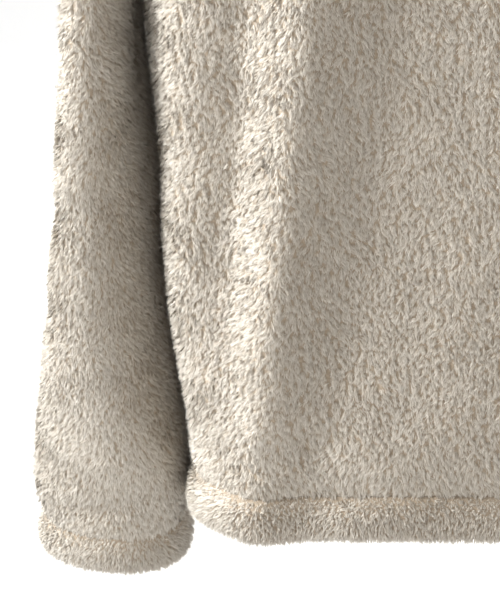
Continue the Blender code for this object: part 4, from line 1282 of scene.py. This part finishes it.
def teeth_piece(settings, finish):
    """Teeth of two sides that meet in turn along the zip, each a small bevelled block."""
    line = zip_line()
    length = line_length(line)
    count = int(length[-1] / settings.pitch)
    centre = along_line(line, length, (np.arange(count) + 0.5) * length[-1] / count)
    up = unit(np.gradient(centre, axis=0))
    out = unit(np.cross(ACROSS, up))
    side = np.where(np.arange(count) % 2 == 0, 1.0, -1.0)
    wide, deep, tall = CHAIN_HALF_WIDTH, CHAIN_THICKNESS / 2, settings.pitch * 0.44
    profile = np.array(TOOTH) * np.array([wide, deep, tall])
    points = (
        centre[:, None]
        + (side[:, None] * profile[:, 0])[:, :, None] * ACROSS
        + profile[:, 1][None, :, None] * out[:, None]
        + profile[:, 2][None, :, None] * up[:, None]
    )
    faces = np.array(TOOTH_FACES)
    mirrored = np.where(side[:, None, None] > 0, faces[None], faces[None, :, ::-1])
    faces = (mirrored + (np.arange(count) * len(TOOTH))[:, None, None]).reshape(-1, 4)
    return mesh_piece("zip_teeth", points.reshape(-1, 3), faces, finish, smooth=False)


class MakeZip(bpy.types.Operator):
    """The zip's tapes, teeth, box, stops, slider and pull tab"""

    bl_idname = "jacket.zip"
    bl_label = "Zip"

    def execute(self, context):
        settings = context.scene.jacket_zip
        tape = tape_finish("zip_tape", settings)
        teeth = teeth_finish("zip_teeth", settings)
        metal = metal_finish("zip_metal", settings)
        uses = (
            (tape, ("tape_left", "tape_right")),
            (teeth, ("box",)),
            (metal, ("slider", "pull", "stop_left", "stop_right")),
        )
        for finish, names in uses:
            for name in names:
                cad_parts["zip_" + name].data.materials[0] = finish
        chain = teeth_piece(settings, teeth)
        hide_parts("zip_chain")
        return {"FINISHED"}


class MakeStage(bpy.types.Operator):
    """A plain pale floor and backdrop, soft studio lights and the camera"""

    bl_idname = "jacket.stage"
    bl_label = "Stage"

    def execute(self, context):
        settings = context.scene.jacket_stage
        self.paper(settings)
        key, fill, front = settings.key_power, settings.fill_power, settings.front_power
        paper, white, jacket = settings.paper_power, (1.0, 1.0, 1.0), (0.05, 0.0, -0.35)
        self.light("key", (2.28, 0.56, 0.80), jacket, 1.3, key, (1.0, 0.99, 0.97))
        self.light("fill", (0.05, 2.5, 0.1), jacket, 0.8, fill, (1.0, 0.90, 0.80))
        self.light("front", (-1.2, -2.0, 1.0), jacket, 1.2, front, (1.0, 0.96, 0.90))
        self.light("backdrop", (0, -3.2, 1.6), (0, -5.2, -0.6), 3.6, paper, white)
        self.light("far_side", (0, 3.8, 2.4), (0, 6.2, -1), 3.0, paper / 3, white)
        world = bpy.data.worlds.new("surroundings")
        world.use_nodes = True
        background = world.node_tree.nodes["Background"]
        background.inputs["Color"].default_value = (1.0, 0.97, 0.93, 1.0)
        background.inputs["Strength"].default_value = settings.sky
        context.scene.world = world
        context.scene.view_settings.view_transform = "Standard"
        self.camera(context.scene)
        return {"FINISHED"}

    def paper(self, settings):
        """A floor that rises behind the jacket in one curve, all the way round."""
        near, far, rise, sides, bends = 5.3, 7.6, 5.0, 64, 8
        curve = far - near
        turns = np.arange(sides) / sides * 2 * math.pi
        ring = np.stack([np.cos(turns), np.sin(turns), np.zeros(sides)], -1)
        profile = [(0.0, 0.0), (near, 0.0)]
        for k in range(1, bends + 1):
            angle = math.pi / 2 * k / bends
            profile.append((near + curve * math.sin(angle), curve * (1 - math.cos(angle))))
        profile.append((far, rise))
        grid = np.array([ring * radius + np.array([0, 0, height]) for radius, height in profile])
        grid[:, :, 2] -= settings.floor_drop
        r, c, r2, c2 = cells_of(len(profile) - 1, sides, sides)
        corners = ((r, c), (r2, c), (r2, c2), (r, c2))
        faces = np.stack([row * sides + column for row, column in corners], 1)
        finish = plain_finish("paper", tuple(settings.paper), 0.9)
        floor = mesh_piece("floor", grid.reshape(-1, 3), faces, finish)
        floor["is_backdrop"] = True

    def light(self, name, place, target, size, power, colour):
        lamp = bpy.data.lights.new(name, "AREA")
        lamp.shape = "DISK"
        lamp.size = size
        lamp.energy = power
        lamp.color = colour
        made = bpy.data.objects.new(name, lamp)
        made.location = place
        aim = Vector(target) - Vector(place)
        made.rotation_euler = aim.to_track_quat("-Z", "Y").to_euler()
        made.visible_camera = False
        bpy.context.scene.collection.objects.link(made)

    def camera(self, scene):
        """Behind the jacket's left side, looking a little down, as the photograph does."""
        way = Vector((0, -math.cos(CAMERA_PITCH), -math.sin(CAMERA_PITCH)))
        data = bpy.data.cameras.new("camera")
        data.lens = CAMERA_LENS
        data.sensor_width = CAMERA_SENSOR
        data.clip_start, data.clip_end = CAMERA_CLIP
        camera = bpy.data.objects.new("camera", data)
        camera.location = Vector(CAMERA_TARGET) - way * CAMERA_DISTANCE
        camera.rotation_euler = way.to_track_quat("-Z", "Y").to_euler()
        scene.collection.objects.link(camera)
        scene.camera = camera


class JacketPanel(bpy.types.Panel):
    """The jacket's pieces and settings"""

    bl_idname = "VIEW3D_PT_jacket"
    bl_label = "Jacket"
    bl_space_type = "VIEW_3D"
    bl_region_type = "UI"
    bl_category = "Jacket"

    def draw(self, context):
        for operator in OPERATORS:
            self.layout.operator(operator.bl_idname)
        for group_name in GROUPS:
            group = getattr(context.scene, group_name)
            box = self.layout.box()
            for name in group.__annotations__:
                box.prop(group, name)


OPERATORS = (MakeBody, MakeSleeves, MakeCollar, MakeCasings, MakeZip, MakeStage)
GROUPS = {"jacket_pile": PileSettings, "jacket_zip": ZipSettings, "jacket_stage": StageSettings}


def register():
    for made in (*GROUPS.values(), *OPERATORS, JacketPanel):
        bpy.utils.register_class(made)
    for name, group in GROUPS.items():
        setattr(bpy.types.Scene, name, bpy.props.PointerProperty(type=group))


def unregister():
    for name in GROUPS:
        delattr(bpy.types.Scene, name)
    for made in (JacketPanel, *reversed(OPERATORS), *reversed(GROUPS.values())):
        bpy.utils.unregister_class(made)


def main():
    register()
    bpy.ops.jacket.body()
    bpy.ops.jacket.sleeves()
    bpy.ops.jacket.collar()
    bpy.ops.jacket.casings()
    bpy.ops.jacket.zip()
    bpy.ops.jacket.stage()
    boxes = {"solids": SOLIDS_BOX, "scene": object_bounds()}
    {name: [list(corner) for corner in box] for name, box in boxes.items()}


if __name__ == "__main__":
    main()
